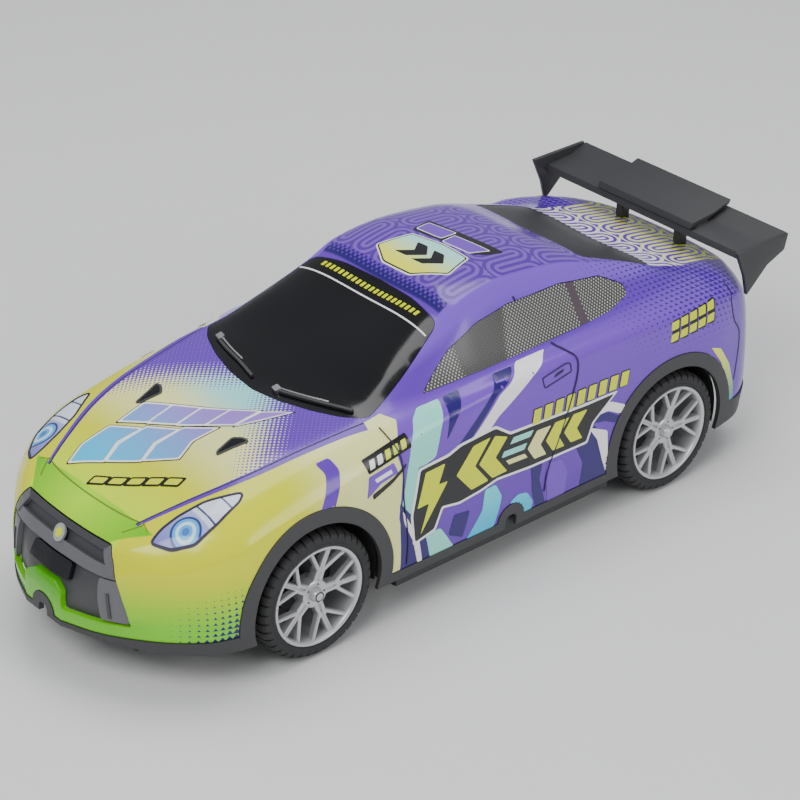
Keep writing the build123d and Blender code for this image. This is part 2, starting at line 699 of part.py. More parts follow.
# ---------------------------------------------------------------- front axle and steering
kingpin_x = 36.0
kingpin_radius = 1.25
arm_length = 7.0
steer_limit = 25.0
beam_half_width = 3.0
beam_x = kingpin_x + 2.6
beam_z = (floor_top, floor_top + 2.0)
bridge_z = (27.8, 29.8)
knuckle_half = 2.5
knuckle_z = (beam_z[1] + 0.3, bridge_z[0] - 0.3)
pin_radius = 1.0
rod_z = (24.0, 25.6)
arm_z = (21.4, 23.6)
link_y = front_axle_y + arm_length
servo_half = (9.0, 5.0, 9.0)
servo_top = arm_z[0] - 0.2
spline_radius = 1.6

beam_y = (front_axle_y - beam_half_width, front_axle_y + beam_half_width)
kingpin_holes = [
    rod(kingpin_radius, (x, front_axle_y, 0), (x, front_axle_y, 40)) for x in (-kingpin_x, kingpin_x)
]
finish(box_between(-beam_x, beam_x, *beam_y, *beam_z) - kingpin_holes, "front_axle_beam")
bridge = box_between(-beam_x, beam_x, *beam_y, *bridge_z)
bridge += box_between(13.5, 17.5, *beam_y, beam_z[1], bridge_z[0])
bridge += box_between(-17.5, -13.5, *beam_y, beam_z[1], bridge_z[0])
finish(
    bridge - kingpin_holes - box_between(-20, 20, link_y - 4, link_y + 4, rod_z[0] - 0.5, rod_z[1] + 0.5),
    "kingpin_bridge",
)
pins = [
    rod(kingpin_radius, (x, front_axle_y, beam_z[0]), (x, front_axle_y, bridge_z[1]))
    for x in (-kingpin_x, kingpin_x)
]
finish(Compound(children=pins), "kingpins")

block = box_between(
    kingpin_x - knuckle_half, kingpin_x + knuckle_half, *beam_y, *knuckle_z
) - rod(kingpin_radius + running, (kingpin_x, front_axle_y, 0), (kingpin_x, front_axle_y, 40))
stub = rod(2.4, (kingpin_x + knuckle_half, front_axle_y, axle_z), (hub_x[0] - 0.2, front_axle_y, axle_z))
stub += rod(axle_radius, (kingpin_x + knuckle_half, front_axle_y, axle_z), (nut_x[1], front_axle_y, axle_z))
steering_arm = box_between(
    kingpin_x - 1.5, kingpin_x + 1.5, beam_y[1], link_y + 1.4, arm_z[0], arm_z[1]
)
steering_arm += rod(pin_radius, (kingpin_x, link_y, arm_z[1]), (kingpin_x, link_y, rod_z[1] + 0.6))
knuckle = block + stub + steering_arm
finish(knuckle, "knuckle_left")
finish(knuckle.mirror(Plane.YZ), "knuckle_right")

# The track rod's eyes are slots, because the pins swing on an arc while it slides.
arc_drop = arm_length * (1 - cos(radians(steer_limit)))
slot_y = (link_y - arc_drop - pin_radius - 0.2, link_y + pin_radius + 0.2)
slot_half = pin_radius + 0.2
eye_wall = 0.9
eyes, slots = [], []
for x in (-kingpin_x, 0, kingpin_x):
    eyes.append(box_between(x - 2.4, x + 2.4, slot_y[0] - eye_wall, slot_y[1] + eye_wall, *rod_z))
    slots.append(box_between(x - slot_half, x + slot_half, *slot_y, rod_z[0] - 1, rod_z[1] + 1))
track_rod = box_between(-kingpin_x, kingpin_x, link_y - 1.2, link_y + 1.2, *rod_z) + eyes - slots
finish(track_rod, "track_rod")

servo = box_between(
    -servo_half[0], servo_half[0], front_axle_y - servo_half[1], front_axle_y + servo_half[2],
    beam_z[1], servo_top,
)
servo += rod(spline_radius, (0, front_axle_y, servo_top), (0, front_axle_y, arm_z[1]))
finish(servo, "steering_servo")
horn = rod(3.2, (0, front_axle_y, arm_z[0]), (0, front_axle_y, arm_z[1]))
horn += box_between(-1.6, 1.6, front_axle_y, link_y + 1.4, arm_z[0] + 0.2, arm_z[1])
horn += rod(pin_radius, (0, link_y, arm_z[1]), (0, link_y, rod_z[1] + 0.6))
finish(
    horn - rod(spline_radius + running, (0, front_axle_y, 0), (0, front_axle_y, 40)),
    "servo_horn",
)

# ---------------------------------------------------------------- lamps
lamp_x, lamp_y, lamp_base_z = 36.0, -97.0, 36.0
lamp_radius = 2.4
lamp_top_z = 46.4 - wall
lamps = [
    rod(lamp_radius, (s * lamp_x, lamp_y, lamp_base_z), (s * lamp_x, lamp_y, lamp_top_z)) for s in (1, -1)
]
finish(Compound(children=lamps), "headlamp_bulbs")
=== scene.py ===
"""Looks of the radio-controlled drift car: painted shell, trim, glazing, wheels and livery."""
import math
import bpy
import bmesh
import numpy as np
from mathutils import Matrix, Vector
from mathutils.bvhtree import BVHTree
from mathutils.geometry import delaunay_2d_cdt


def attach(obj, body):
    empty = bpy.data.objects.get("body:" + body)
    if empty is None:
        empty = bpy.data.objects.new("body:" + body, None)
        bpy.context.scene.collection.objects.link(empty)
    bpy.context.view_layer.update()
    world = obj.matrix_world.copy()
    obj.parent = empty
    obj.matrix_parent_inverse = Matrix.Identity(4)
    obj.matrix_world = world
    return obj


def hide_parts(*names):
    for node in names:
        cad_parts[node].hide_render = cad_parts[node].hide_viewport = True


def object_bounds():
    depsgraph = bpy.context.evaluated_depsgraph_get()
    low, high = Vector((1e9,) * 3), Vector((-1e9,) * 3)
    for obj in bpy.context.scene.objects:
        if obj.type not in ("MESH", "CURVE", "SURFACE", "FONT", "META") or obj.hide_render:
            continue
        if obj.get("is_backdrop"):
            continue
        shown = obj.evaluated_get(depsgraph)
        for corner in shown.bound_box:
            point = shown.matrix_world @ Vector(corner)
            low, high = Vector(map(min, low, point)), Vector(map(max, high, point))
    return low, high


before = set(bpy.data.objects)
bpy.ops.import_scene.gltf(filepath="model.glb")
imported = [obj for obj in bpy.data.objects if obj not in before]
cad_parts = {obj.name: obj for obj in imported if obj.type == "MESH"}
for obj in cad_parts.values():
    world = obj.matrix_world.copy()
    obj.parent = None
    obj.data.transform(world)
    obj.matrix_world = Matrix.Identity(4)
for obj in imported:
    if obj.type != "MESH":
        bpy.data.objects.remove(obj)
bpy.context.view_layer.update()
MM = 0.001

# ---- sizes, in millimetres
AXLE_Z = 20.0
FRONT_Y, REAR_Y = -66.0, 74.0
WHEEL_MIDDLE_X = 40.2
ARCH_R, ARCH_TRIM_R = 22.8, 27.3
LINER_R, LINER_WALL, LINER_IN_X, LINER_OUT_X = 23.2, 0.7, 30.5, 45.4
SILL_TOP, LIP_TOP, VALANCE_TOP = 15.8, 17.6, 21.0
BOSS_R, BOSS_Y, BOSS_SLOT = 5.2, 7.5, 4.3
SHELL_WALL = 1.3
TRIM_PROUD = 0.35
PANEL_GAP = 0.14
PRINT_LIFT, PRINT_THICK, PRINT_SPACING = 0.03, 0.2, 0.95
SKIN_REACH = 1.2

# Body cross-sections: sill, waist, shoulder, deck edge and crown edge as (x, z), then the crown height.
STATIONS = {
    -126: ((8, 16), (9, 22), (8, 25), (5, 26), (3, 26.6), 26.9),
    -122: ((19, 15.8), (20, 23), (17.5, 31), (12, 33.4), (6, 34), 34.4),
    -115: ((30, 14.5), (31.2, 24), (28.5, 38.5), (24, 43), (14, 44.6), 45.2),
    -107: ((39, 13.6), (40, 25), (38, 40), (31, 46.5), (16, 48.4), 48.8),
    -98: ((45, 13), (46.4, 25), (44, 43), (36.5, 49.8), (18, 51.8), 51.2),
    -86: ((48, 12.8), (49, 25), (47, 46), (39, 53.5), (20, 55.5), 54.6),
    -66: ((48.4, 12.8), (49, 25), (47, 49.5), (39.5, 57.5), (20, 60), 59),
    -48: ((48.2, 12.8), (49, 25), (46.8, 53), (38.5, 60.5), (20, 61.6), 60.9),
    -38: ((48.2, 12.8), (49, 25), (46.8, 54.8), (38, 61.8), (33, 63), 64.4),
    -22: ((48.2, 12.8), (49, 25), (46.6, 57.5), (39.5, 63.2), (31, 69.8), 70.9),
    -5: ((48.2, 12.8), (49, 25), (46.4, 59.4), (40, 63.6), (28.8, 77.2), 78.6),
    4: ((48.2, 12.8), (49, 25), (46.4, 60.2), (40.2, 63.8), (27.6, 81.8), 83.8),
    19: ((48.2, 12.8), (49, 25), (46.4, 60.6), (40.4, 63.8), (27, 83.4), 86.2),
    41: ((48.2, 12.8), (49, 25), (46.6, 61), (40.4, 63.9), (26.6, 81.3), 84.2),
    57: ((48.4, 12.8), (49.2, 25), (47, 61), (39.6, 63.9), (27, 76.6), 77.8),
    75: ((48.4, 12.8), (49.2, 25), (47.6, 60.6), (38, 63.6), (28, 70.4), 70.9),
    90: ((48.2, 12.8), (49, 25), (47.4, 60), (37, 62.8), (29, 64.6), 64.0),
    104: ((47, 13.6), (47.8, 25), (45, 57.5), (37, 61), (20, 61.6), 62.0),
    113: ((42, 15.5), (43.5, 25), (41, 54), (33, 59), (18, 59.8), 60.2),
    119: ((33, 16), (35, 25), (30, 52), (24, 57), (14, 58.2), 58.5),
    121.5: ((18, 17), (22, 25), (17, 46), (12, 50), (6, 52), 52.4),
}
NOSE_Y, TAIL_Y = -67, 75


# ---- shader wiring
class Wire:
    """A number in a material, with arithmetic that adds Math nodes."""

    def __init__(self, tree, out):
        self.tree, self.out = tree, out

    def math(self, kind, *others):
        node = self.tree.nodes.new("ShaderNodeMath")
        node.operation = kind
        for socket, value in zip(node.inputs, (self, *others)):
            feed(self.tree, socket, value)
        return Wire(self.tree, node.outputs[0])

    def __add__(self, other):
        return self.math("ADD", other)

    def __sub__(self, other):
        return self.math("SUBTRACT", other)

    def __mul__(self, other):
        return self.math("MULTIPLY", other)

    def __abs__(self):
        return self.math("ABSOLUTE")

    def fract(self):
        return self.math("FRACT")

    def cosine(self):
        return self.math("COSINE")

    def ramp(self, start, end, low=0.0, high=1.0, soft=False):
        """low at start, high at end, held beyond them."""
        node = self.tree.nodes.new("ShaderNodeMapRange")
        node.clamp = True
        node.interpolation_type = "SMOOTHSTEP" if soft else "LINEAR"
        for socket, value in zip(node.inputs, (self, start, end, low, high)):
            feed(self.tree, socket, value)
        return Wire(self.tree, node.outputs[0])

    def path(self, points):
        """Straight lines between (input, output) points."""
        total = None
        for (a, fa), (b, fb) in zip(points, points[1:]):
            part = self.ramp(a, b, 0.0, fb - fa)
            total = part if total is None else total + part
        return total + points[0][1]


def feed(tree, socket, value):
    if isinstance(value, Wire):
        tree.links.new(value.out, socket)
    elif isinstance(value, bpy.types.NodeSocket):
        tree.links.new(value, socket)
    else:
        socket.default_value = (*value, 1.0) if isinstance(value, tuple) and len(value) == 3 else value


def mix(tree, share, first, second):
    """first where share is 0, second where it is 1."""
    node = tree.nodes.new("ShaderNodeMix")
    node.data_type = "RGBA"
    feed(tree, node.inputs[0], share)
    feed(tree, node.inputs[6], first)
    feed(tree, node.inputs[7], second)
    return node.outputs[2]


def layers(tree, colour, *coats):
    """A colour with others laid over it in turn: (share, colour) for each."""
    for share, coat in coats:
        colour = mix(tree, share, colour, coat)
    return colour


def noise(tree, place, scale, detail=3.0):
    node = tree.nodes.new("ShaderNodeTexNoise")
    node.inputs["Scale"].default_value = scale
    node.inputs["Detail"].default_value = detail
    tree.links.new(place, node.inputs["Vector"])
    return Wire(tree, node.outputs[0])


def axes(tree, place):
    """x, y and z of the surface point in millimetres."""
    node = tree.nodes.new("ShaderNodeSeparateXYZ")
    tree.links.new(place, node.inputs[0])
    return [Wire(tree, out) * 1000.0 for out in node.outputs]


def surface(name, colour, roughness, grain=900.0, drift=0.1, bump=0.08, paint=None, **shader_values):
    """One finish: colour that drifts slightly, uneven roughness and a fine moulded or machined grain."""
    material = bpy.data.materials.new(name)
    material.use_nodes = True
    tree = material.node_tree
    shader = tree.nodes["Principled BSDF"]
    place = tree.nodes.new("ShaderNodeTexCoord").outputs["Object"]
    broad = noise(tree, place, 55.0, 2.0)
    fine = noise(tree, place, grain)
    base = paint(tree, place) if paint else colour
    shade = tree.nodes.new("ShaderNodeHueSaturation")
    feed(tree, shade.inputs["Color"], base)
    feed(tree, shade.inputs["Value"], (broad * 0.6 + fine * 0.4 - 0.5) * drift + 1.0)
    tree.links.new(shade.outputs[0], shader.inputs["Base Color"])
    feed(tree, shader.inputs["Roughness"], (fine * 0.5 + broad * 0.5 - 0.5) * 0.18 + roughness)
    relief = tree.nodes.new("ShaderNodeBump")
    relief.inputs["Strength"].default_value = bump
    relief.inputs["Distance"].default_value = 0.00012
    feed(tree, relief.inputs["Height"], fine)
    tree.links.new(relief.outputs[0], shader.inputs["Normal"])
    for key, value in shader_values.items():
        feed(tree, shader.inputs[key.replace("_", " ")], value)
    return material


# ---- printed paint of the shell
YELLOW = (0.70, 0.73, 0.0)
LIME = (0.20, 0.68, 0.0)
CREAM = (0.86, 0.86, 0.33)
WHITE = (0.92, 0.93, 0.90)
MINT = (0.30, 0.82, 0.70)
PURPLE = (0.130, 0.036, 0.46)
VIOLET = (0.185, 0.062, 0.56)
INDIGO = (0.020, 0.009, 0.15)
GLOSS = dict(Coat_Weight=0.22, Coat_Roughness=0.1, Specular_IOR_Level=0.35)


def dots(u, v, pitch, density):
    """Halftone dots: 0 to 1 ink where density is the share of ink."""
    wave = (u * (2 * math.pi / pitch)).cosine() + (v * (2 * math.pi / pitch)).cosine()
    return (density * 4.0 - 2.0 + wave).ramp(-0.25, 0.25)


def triangles(u, v, pitch, size):
    """Halftone of small triangles whose size, from 0 to 1, grows with density."""
    a = (u * (1 / pitch)).fract() - 0.5
    b = (v * (1 / pitch)).fract() - 0.5
    reach = (abs(a) * 0.87 + b * 0.5).math("MAXIMUM", b * -1.0)
    return (size * 0.42 - reach).ramp(-0.02, 0.02)


def loops(u, v, cell, lines):
    """Rows of concentric U bends, each row turned over and moved half a cell."""
    row = (v * (1 / cell)).math("FLOOR")
    flip = (row * 0.5).fract() * 2.0
    a = abs((u * (1 / cell) + flip * 0.5).fract() - 0.5)
    b = (v * (1 / cell)).fract() - 0.5
    b = b * (flip * 2.0 - 1.0)
    bend = (a * a + b * b).math("SQRT")
    ring = mix_number(a, bend, b.ramp(-0.005, 0.005))
    return (ring * (lines * 2.0)).fract().math("PINGPONG", 0.5).ramp(0.2, 0.3)


def mix_number(straight, bent, share):
    return straight + (bent - straight) * share


def shell_paint(tree, place):
    x, y, z = axes(tree, place)
    side = abs(x)
    slant_u, slant_v = x + y, x - y

    # bonnet: yellow at the nose, cream, a cyan breath, then purple corners in halftone
    breath = y.ramp(-72, -56, soft=True) * side.ramp(30, 6)
    corners = ((y + 62.0) * (1 / 15) + (side - 17.0) * (1 / 15)).ramp(-0.55, 1.0)
    bonnet = layers(
        tree, (0.62, 0.92, 0.0), (y.ramp(-110, -92), YELLOW), (y.ramp(-94, -74, soft=True), CREAM),
        (breath * 0.8, (0.22, 0.78, 0.90)), (dots(slant_u, slant_v, 1.7, corners), PURPLE))

    # wings and bumper: yellow, lime low down, cream towards the door
    low_dots = y.ramp(-112, -86) * z.ramp(36, 20) * y.ramp(-60, -70)
    wing = layers(
        tree, YELLOW, (z.ramp(40, 21, soft=True) * y.ramp(-76, -90), LIME), (y.ramp(-74, -50, soft=True), CREAM),
        (triangles(y, z, 1.9, low_dots * 1.15), INDIGO),
        (y.ramp(-92, -84) * z.ramp(27, 18) * y.ramp(-60, -70) * 0.8, (0.06, 0.02, 0.34)))

    # lime strip between bonnet and grille, lime chin under it
    edge = y.path([(-110, 21.5), (-106, 22.8), (-96, 27.2), (-86, 30.9), (-74, 33.8), (-41, 37.6)])
    on_bonnet = (edge - side).ramp(-0.1, 0.1) * z.ramp(40, 42)
    strip = y.ramp(-106.6, -107.2) * (y - side * 0.89 + 131.9).ramp(-0.3, 0.3) * z.ramp(40, 41)
    chin = y.ramp(-112, -120) * z.ramp(25, 22)
    chin = chin.math("MAXIMUM", side.ramp(9.8, 9.0) * z.ramp(32, 31) * y.ramp(-117, -119))
    front = layers(
        tree, wing, (on_bonnet, bonnet), (strip, mix(tree, side.ramp(0, 26), (0.45, 0.86, 0.0), (0.15, 0.55, 0.0))),
        (chin, mix(tree, z.ramp(18, 30), (0.16, 0.62, 0.0), (0.05, 0.34, 0.0))))

    # roof: maze lines, with indigo checks along its front edge
    maze = loops(x, y, 9.6, 2.0)
    checks = dots(slant_u, slant_v, 2.0, y.ramp(-2, 3))
    roof = layers(
        tree, (0.092, 0.026, 0.34), (maze * 0.8, (0.22, 0.10, 0.56)),
        (y.ramp(1.6, 1.0), mix(tree, checks, INDIGO, PURPLE)))
    on_roof = z.ramp(74.5, 75.5) * side.ramp(26.8, 26.4) * y.ramp(-2.6, -2.0)

    # boot lid: looped lines over white fading to yellow-green
    lid = layers(tree, WHITE, (y.ramp(90, 106), (0.72, 0.80, 0.0)), (maze, PURPLE))
    on_lid = y.ramp(84, 84.6) * side.ramp(28.2, 27.6) * z.ramp(57.5, 58.5) * y.ramp(117, 116)

    # cabin sides, roof, rear quarters with indigo triangles growing upwards and backwards, tail, boot lid
    spread = y.ramp(44, 104) * z.ramp(44, 64)
    body = layers(
        tree, VIOLET, (z.ramp(56, 20), PURPLE), (z.ramp(62.5, 64.5), PURPLE),
        (side.ramp(26.2, 27.2) * side.ramp(34, 31) * z.ramp(66, 69), (0.20, 0.08, 0.62)), (on_roof, roof),
        (triangles(y + z * 0.35, z - side, 2.3, spread * 0.9), (0.035, 0.014, 0.25)),
        (y.ramp(100, 104) * z.ramp(58, 54), mix(tree, y.ramp(96, 118), VIOLET, (0.05, 0.02, 0.30))), (on_lid, lid))

    # the yellow front ends in a ragged slant ahead of the door
    border = z.path([(13, -36), (27, -35), (34, -36.5), (48, -34.5), (55, -36), (61, -31), (66, -41), (90, -41)])
    return mix(tree, (y - border).ramp(-0.1, 0.1), front, body)


# ---- finishes
def ink(name, colour, roughness=0.22, drift=0.05, paint=None):
    """A glossy printed colour."""
    return surface(name, colour, roughness, 1500, drift, 0.02, paint, **GLOSS)


shell_finish = ink("printed_shell", None, 0.2, 0.04, shell_paint)
trim_finish = surface("dark_trim_moulding", (0.040, 0.040, 0.042), 0.52, 2600, 0.3, 0.22)
wing_finish = surface("wing_moulding", (0.032, 0.032, 0.035), 0.5, 2600, 0.3, 0.25)
screen_finish = surface("black_screen", (0.004, 0.004, 0.005), 0.12, 800, 0.2, 0.01, **GLOSS)
rear_screen_finish = surface("rear_screen", (0.018, 0.018, 0.020), 0.42, 1500, 0.3, 0.05)
rubber_finish = surface("tyre_rubber", (0.022, 0.022, 0.023), 0.72, 2200, 0.4, 0.35)
rim_finish = surface("satin_rim", (0.56, 0.56, 0.57), 0.34, 2400, 0.1, 0.06, Metallic=0.55)
disc_finish = surface("dark_wheel_disc", (0.022, 0.022, 0.024), 0.6, 1800, 0.3, 0.15)
line_finish = surface("panel_line_ink", (0.016, 0.010, 0.05), 0.5, 900, 0.2, 0.02)
seam_finish = surface("bonnet_line_ink", (0.13, 0.22, 0.01), 0.5, 900, 0.2, 0.02)
white_ink = ink("white_print", WHITE, 0.25)
black_ink = ink("black_print", (0.010, 0.010, 0.012), 0.25, 0.2)
yellow_ink = ink("yellow_print", (0.72, 0.80, 0.0))
cream_ink = ink("cream_print", CREAM)
mint_ink = ink("mint_print", MINT)
indigo_ink = ink("indigo_print", INDIGO, drift=0.1)
purple_ink = ink("purple_print", PURPLE)
violet_ink = ink("violet_print", VIOLET)
steel_finish = surface("plated_steel", (0.55, 0.55, 0.56), 0.3, 3000, 0.1, 0.06, Metallic=1.0)


def fade_ink(name, axis, start, end, first, second):
    """Print that fades from one colour to another along y or z."""
    def paint(tree, place):
        return mix(tree, axes(tree, place)[axis].ramp(start, end, soft=True), first, second)
    return ink(name, None, paint=paint)


cyan_ink = fade_ink("cyan_print", 2, 16, 31, (0.03, 0.55, 0.85), (0.12, 0.75, 0.86))
emblem_ink = fade_ink("bonnet_emblem_print", 1, -104, -62, (0.03, 0.55, 0.88), (0.34, 0.20, 0.68))
roof_emblem_ink = fade_ink("roof_emblem_print", 1, 4, 17, (0.90, 0.92, 0.05), (0.42, 0.86, 0.80))
crescent_ink = fade_ink("crescent_print", 2, 17, 44, (0.01, 0.28, 0.32), (0.90, 0.92, 0.10))


def window_paint(tree, place):
    x, y, z = axes(tree, place)
    front = y.ramp(-2.5, -4.5)
    back = (y - z * 0.35).ramp(-10.5, -8.5)
    mesh_dots = dots(y + z, y - z, 1.25, (front + back).ramp(0, 1) * 0.27)
    grey = mix(tree, y.ramp(43.2, 43.6) * y.ramp(46.6, 46.2), (0.062, 0.060, 0.058), (0.085, 0.060, 0.075))
    return mix(tree, mesh_dots * y.ramp(43.4, 43.2).math("MAXIMUM", y.ramp(46.4, 46.6)), grey, (0.52, 0.52, 0.47))


side_glass_finish = surface("dotted_side_window", None, 0.3, 1500, 0.08, 0.02, paint=window_paint)


def lamp_paint(tree, place):
    x, y, z = axes(tree, place)
    ring = ((abs(x) - 34.6).math("POWER", 2.0) + (y + 100.6).math("POWER", 2.0)).math("SQRT")
    bars = ((y * 0.16).fract() - 0.5).math("ABSOLUTE").ramp(0.44, 0.47)
    upper = y.ramp(-95.6, -95.2)
    back = mix(tree, y.ramp(-108, -86), (0.20, 0.20, 0.62), (0.55, 0.62, 0.88))
    return layers(
        tree, back, ((y - abs(x) * 0.2).ramp(-100.2, -99.8), (0.42, 0.52, 0.85)), (upper, (0.72, 0.80, 0.92)),
        (upper * bars, (0.05, 0.06, 0.16)), (ring.ramp(4.6, 4.3), (0.03, 0.05, 0.22)),
        (ring.ramp(3.9, 3.6), (0.10, 0.42, 0.90)), (abs(ring - 2.4).ramp(0.6, 0.3), (0.62, 0.90, 1.0)),
        (ring.ramp(1.2, 0.9), (0.05, 0.20, 0.60)))


lamp_finish = surface("headlamp_lens", None, 0.12, drift=0.08, bump=0.02, paint=lamp_paint, **GLOSS)
tail_finish = surface("tail_lens", (0.36, 0.012, 0.016), 0.15, drift=0.15, bump=0.03, **GLOSS)
grille_finish = surface("grille_insert", (0.055, 0.055, 0.060), 0.42, 2400, 0.25, 0.15)
grille_light = surface("grille_side_panel", (0.13, 0.13, 0.14), 0.4, 2400, 0.2, 0.12)


# ---- mesh helpers
def mesh_from(name, verts, faces):
    mesh = bpy.data.meshes.new(name)
    mesh.from_pydata([tuple(v) for v in np.asarray(verts, float) * MM], [], [tuple(f) for f in faces])
    mesh.validate()
    return mesh


def outward(mesh):
    """Point every face of a closed mesh outwards."""
    work = bmesh.new()
    work.from_mesh(mesh)
    bmesh.ops.remove_doubles(work, verts=work.verts, dist=1e-7)
    bmesh.ops.recalc_face_normals(work, faces=work.faces)
    return settled(work, mesh)


def shown(name, data):
    """An object in the scene that holds a mesh, a light or a camera."""
    obj = bpy.data.objects.new(name, data)
    bpy.context.scene.collection.objects.link(obj)
    return obj


def settled(work, mesh):
    """The edited faces written to a mesh."""
    work.to_mesh(mesh)
    work.free()
    return mesh


def piece(name, mesh, material, body="car", stands_for=(), sharp=32.0):
    """A finished piece on its CAD body."""
    obj = shown(name, mesh)
    mesh.materials.clear()
    mesh.materials.append(material)
    for polygon in mesh.polygons:
        polygon.material_index = 0
        polygon.use_smooth = True
    mesh.set_sharp_from_angle(angle=math.radians(sharp))
    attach(obj, body)
    if stands_for:
        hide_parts(*stands_for)
    return obj


def rounded(points, radius, steps=4):
    """An outline with its corners rounded."""
    points = np.asarray(points, float)
    result = []
    for before, corner, after in zip(np.roll(points, 1, 0), points, np.roll(points, -1, 0)):
        back, ahead = before - corner, after - corner
        first = corner + back / np.linalg.norm(back) * min(radius, np.linalg.norm(back) * 0.45)
        last = corner + ahead / np.linalg.norm(ahead) * min(radius, np.linalg.norm(ahead) * 0.45)
        for t in np.linspace(0, 1, steps + 1):
            result.append((1 - t) ** 2 * first + 2 * t * (1 - t) * corner + t ** 2 * last)
    return [tuple(p) for p in result]


def grown(points, distance):
    """An outline pushed outwards, or inwards if distance is negative."""
    points = np.asarray(points, float)
    nxt = np.roll(points, -1, 0)
    area = np.sum(points[:, 0] * nxt[:, 1] - nxt[:, 0] * points[:, 1])
    turn = 1.0 if area > 0 else -1.0
    result = []
    for before, corner, after in zip(np.roll(points, 1, 0), points, nxt):
        a = (corner - before) / max(np.linalg.norm(corner - before), 1e-9)
        b = (after - corner) / max(np.linalg.norm(after - corner), 1e-9)
        na, nb = np.array([a[1], -a[0]]) * turn, np.array([b[1], -b[0]]) * turn
        middle = na + nb
        middle /= max(np.linalg.norm(middle), 1e-9)
        result.append(tuple(corner + middle * distance / max(np.dot(middle, na), 0.45)))
    return result


def prism(points, axis, start, end):
    """A straight block over an outline: axis 0 takes (y, z), 1 takes (x, z), 2 takes (x, y)."""
    n = len(points)
    low = [np.insert(np.asarray(p, float), axis, start) for p in points]
    high = [np.insert(np.asarray(p, float), axis, end) for p in points]
    faces = [tuple(range(n)), tuple(range(n, 2 * n))]
    faces += [(i, (i + 1) % n, n + (i + 1) % n, n + i) for i in range(n)]
    return outward(mesh_from("prism", low + high, faces))


def circle(cy, cz, radius, count=144):
    return [(cy + radius * math.cos(a), cz + radius * math.sin(a))
            for a in np.linspace(0, 2 * math.pi, count, endpoint=False)]


def combine(base, kind, *others):
    """base changed by each other solid in turn."""
    obj = shown("work", base)
    tools = []
    for other in others:
        tool = shown("tool", other)
        change = obj.modifiers.new("change", "BOOLEAN")
        change.solver, change.operation, change.object = "MANIFOLD", kind, tool
        tools.append(tool)
    graph = bpy.context.evaluated_depsgraph_get()
    result = bpy.data.meshes.new_from_object(obj.evaluated_get(graph))
    for used in (obj, *tools):
        bpy.data.objects.remove(used)
    return result


# ---- body skin
def bent(t, start, end, leaving, arriving):
    """A smooth line from start to end with the given slopes there, for t from 0 to 1."""
    curve = (2 * t**3 - 3 * t**2 + 1) * start + (t**3 - 2 * t**2 + t) * leaving
    curve += (3 * t**2 - 2 * t**3) * end + (t**3 - t**2) * arriving
    return curve


def flowing(values, steps):
    """Rows of values joined by a smooth line that never overshoots."""
    step = np.diff(values, axis=0)
    slope = np.zeros_like(values)
    before, after = step[:-1], step[1:]
    same = before * after > 0
    slope[1:-1][same] = (2 * before * after / np.where(same, before + after, 1))[same]
    slope[0], slope[-1] = step[0], step[-1]
    t = np.linspace(0, 1, steps, endpoint=False)[None, :, None]
    curve = bent(t, values[:-1, None], values[1:, None], slope[:-1, None], slope[1:, None])
    return np.concatenate([curve.reshape(-1, values.shape[1]), values[-1:]])


def section_curves(points, steps, crisp=0.22):
    """Smooth section outlines through rows of points, kept a little crisp at the points."""
    first, last = 2 * points[:, :1] - points[:, 1:2], 2 * points[:, -1:] - points[:, -2:-1]
    full = np.concatenate([first, points, last], axis=1)
    knots = np.cumsum(np.sqrt(np.linalg.norm(np.diff(full, axis=1), axis=2)) + 1e-6, axis=1)
    knots = np.concatenate([np.zeros_like(knots[:, :1]), knots], axis=1)[..., None]
    out = []
    t = np.linspace(0, 1, steps, endpoint=False)[None, :, None]
    for i in range(1, full.shape[1] - 2):
        p0, p1, p2, p3 = (full[:, i + k] for k in (-1, 0, 1, 2))
        t0, t1, t2, t3 = (knots[:, i + k] for k in (-1, 0, 1, 2))
        m1 = (t2 - t1) * ((p1 - p0) / (t1 - t0) - (p2 - p0) / (t2 - t0) + (p2 - p1) / (t2 - t1))
        m2 = (t2 - t1) * ((p2 - p1) / (t2 - t1) - (p3 - p1) / (t3 - t1) + (p3 - p2) / (t3 - t2))
        a, b = p1[:, None], p2[:, None]
        curve = bent(t, a, b, m1[:, None], m2[:, None])
        out.append(curve * (1 - crisp) + (a + (b - a) * t) * crisp)
    out.append(points[:, -1:])
    return np.concatenate(out, axis=1)


def hull(inset=0.0, drop=0.0, along=8, across=16):
    """The filled body as a closed mesh, its wall moved inwards by inset and its underside down by drop."""
    rows = []
    for y, (sill, waist, shoulder, deck, edge, crown) in STATIONS.items():
        shift = inset if y < NOSE_Y else -inset if y > TAIL_Y else 0
        half = [(sill[0] - inset, sill[1] - drop), (waist[0] - inset, waist[1])]
        half += [(shoulder[0] - inset, shoulder[1] - inset * 0.4)]
        half += [(px - inset * 0.5, pz - inset) for px, pz in (deck, edge)]
        rows.append([y + shift] + [value for point in half for value in point] + [crown - inset])
    rows = np.asarray(rows, float)
    rows = flowing(rows, along)
    y = rows[:, 0]
    right = rows[:, 1:11].reshape(-1, 5, 2)
    left = right[:, ::-1] * np.array([-1, 1])
    top = np.stack([np.zeros(len(rows)), rows[:, 11]], axis=1)[:, None]
    outline = section_curves(np.concatenate([right, top, left], axis=1), across)
    count, width = outline.shape[:2]
    verts = np.concatenate([outline[..., :1], np.repeat(y[:, None, None], width, 1), outline[..., 1:]], axis=2)
    faces = []
    for i in range(count - 1):
        for j in range(width):
            k = (j + 1) % width
            faces.append((i * width + j, i * width + k, (i + 1) * width + k, (i + 1) * width + j))
    faces.append(tuple(range(width)))
    faces.append(tuple(range((count - 1) * width, count * width)))
    return outward(mesh_from("hull", verts.reshape(-1, 3), faces))


outer_hull = hull()
inner_hull = hull(SHELL_WALL, 8.0, along=4, across=8)
proud_hull = hull(-TRIM_PROUD)

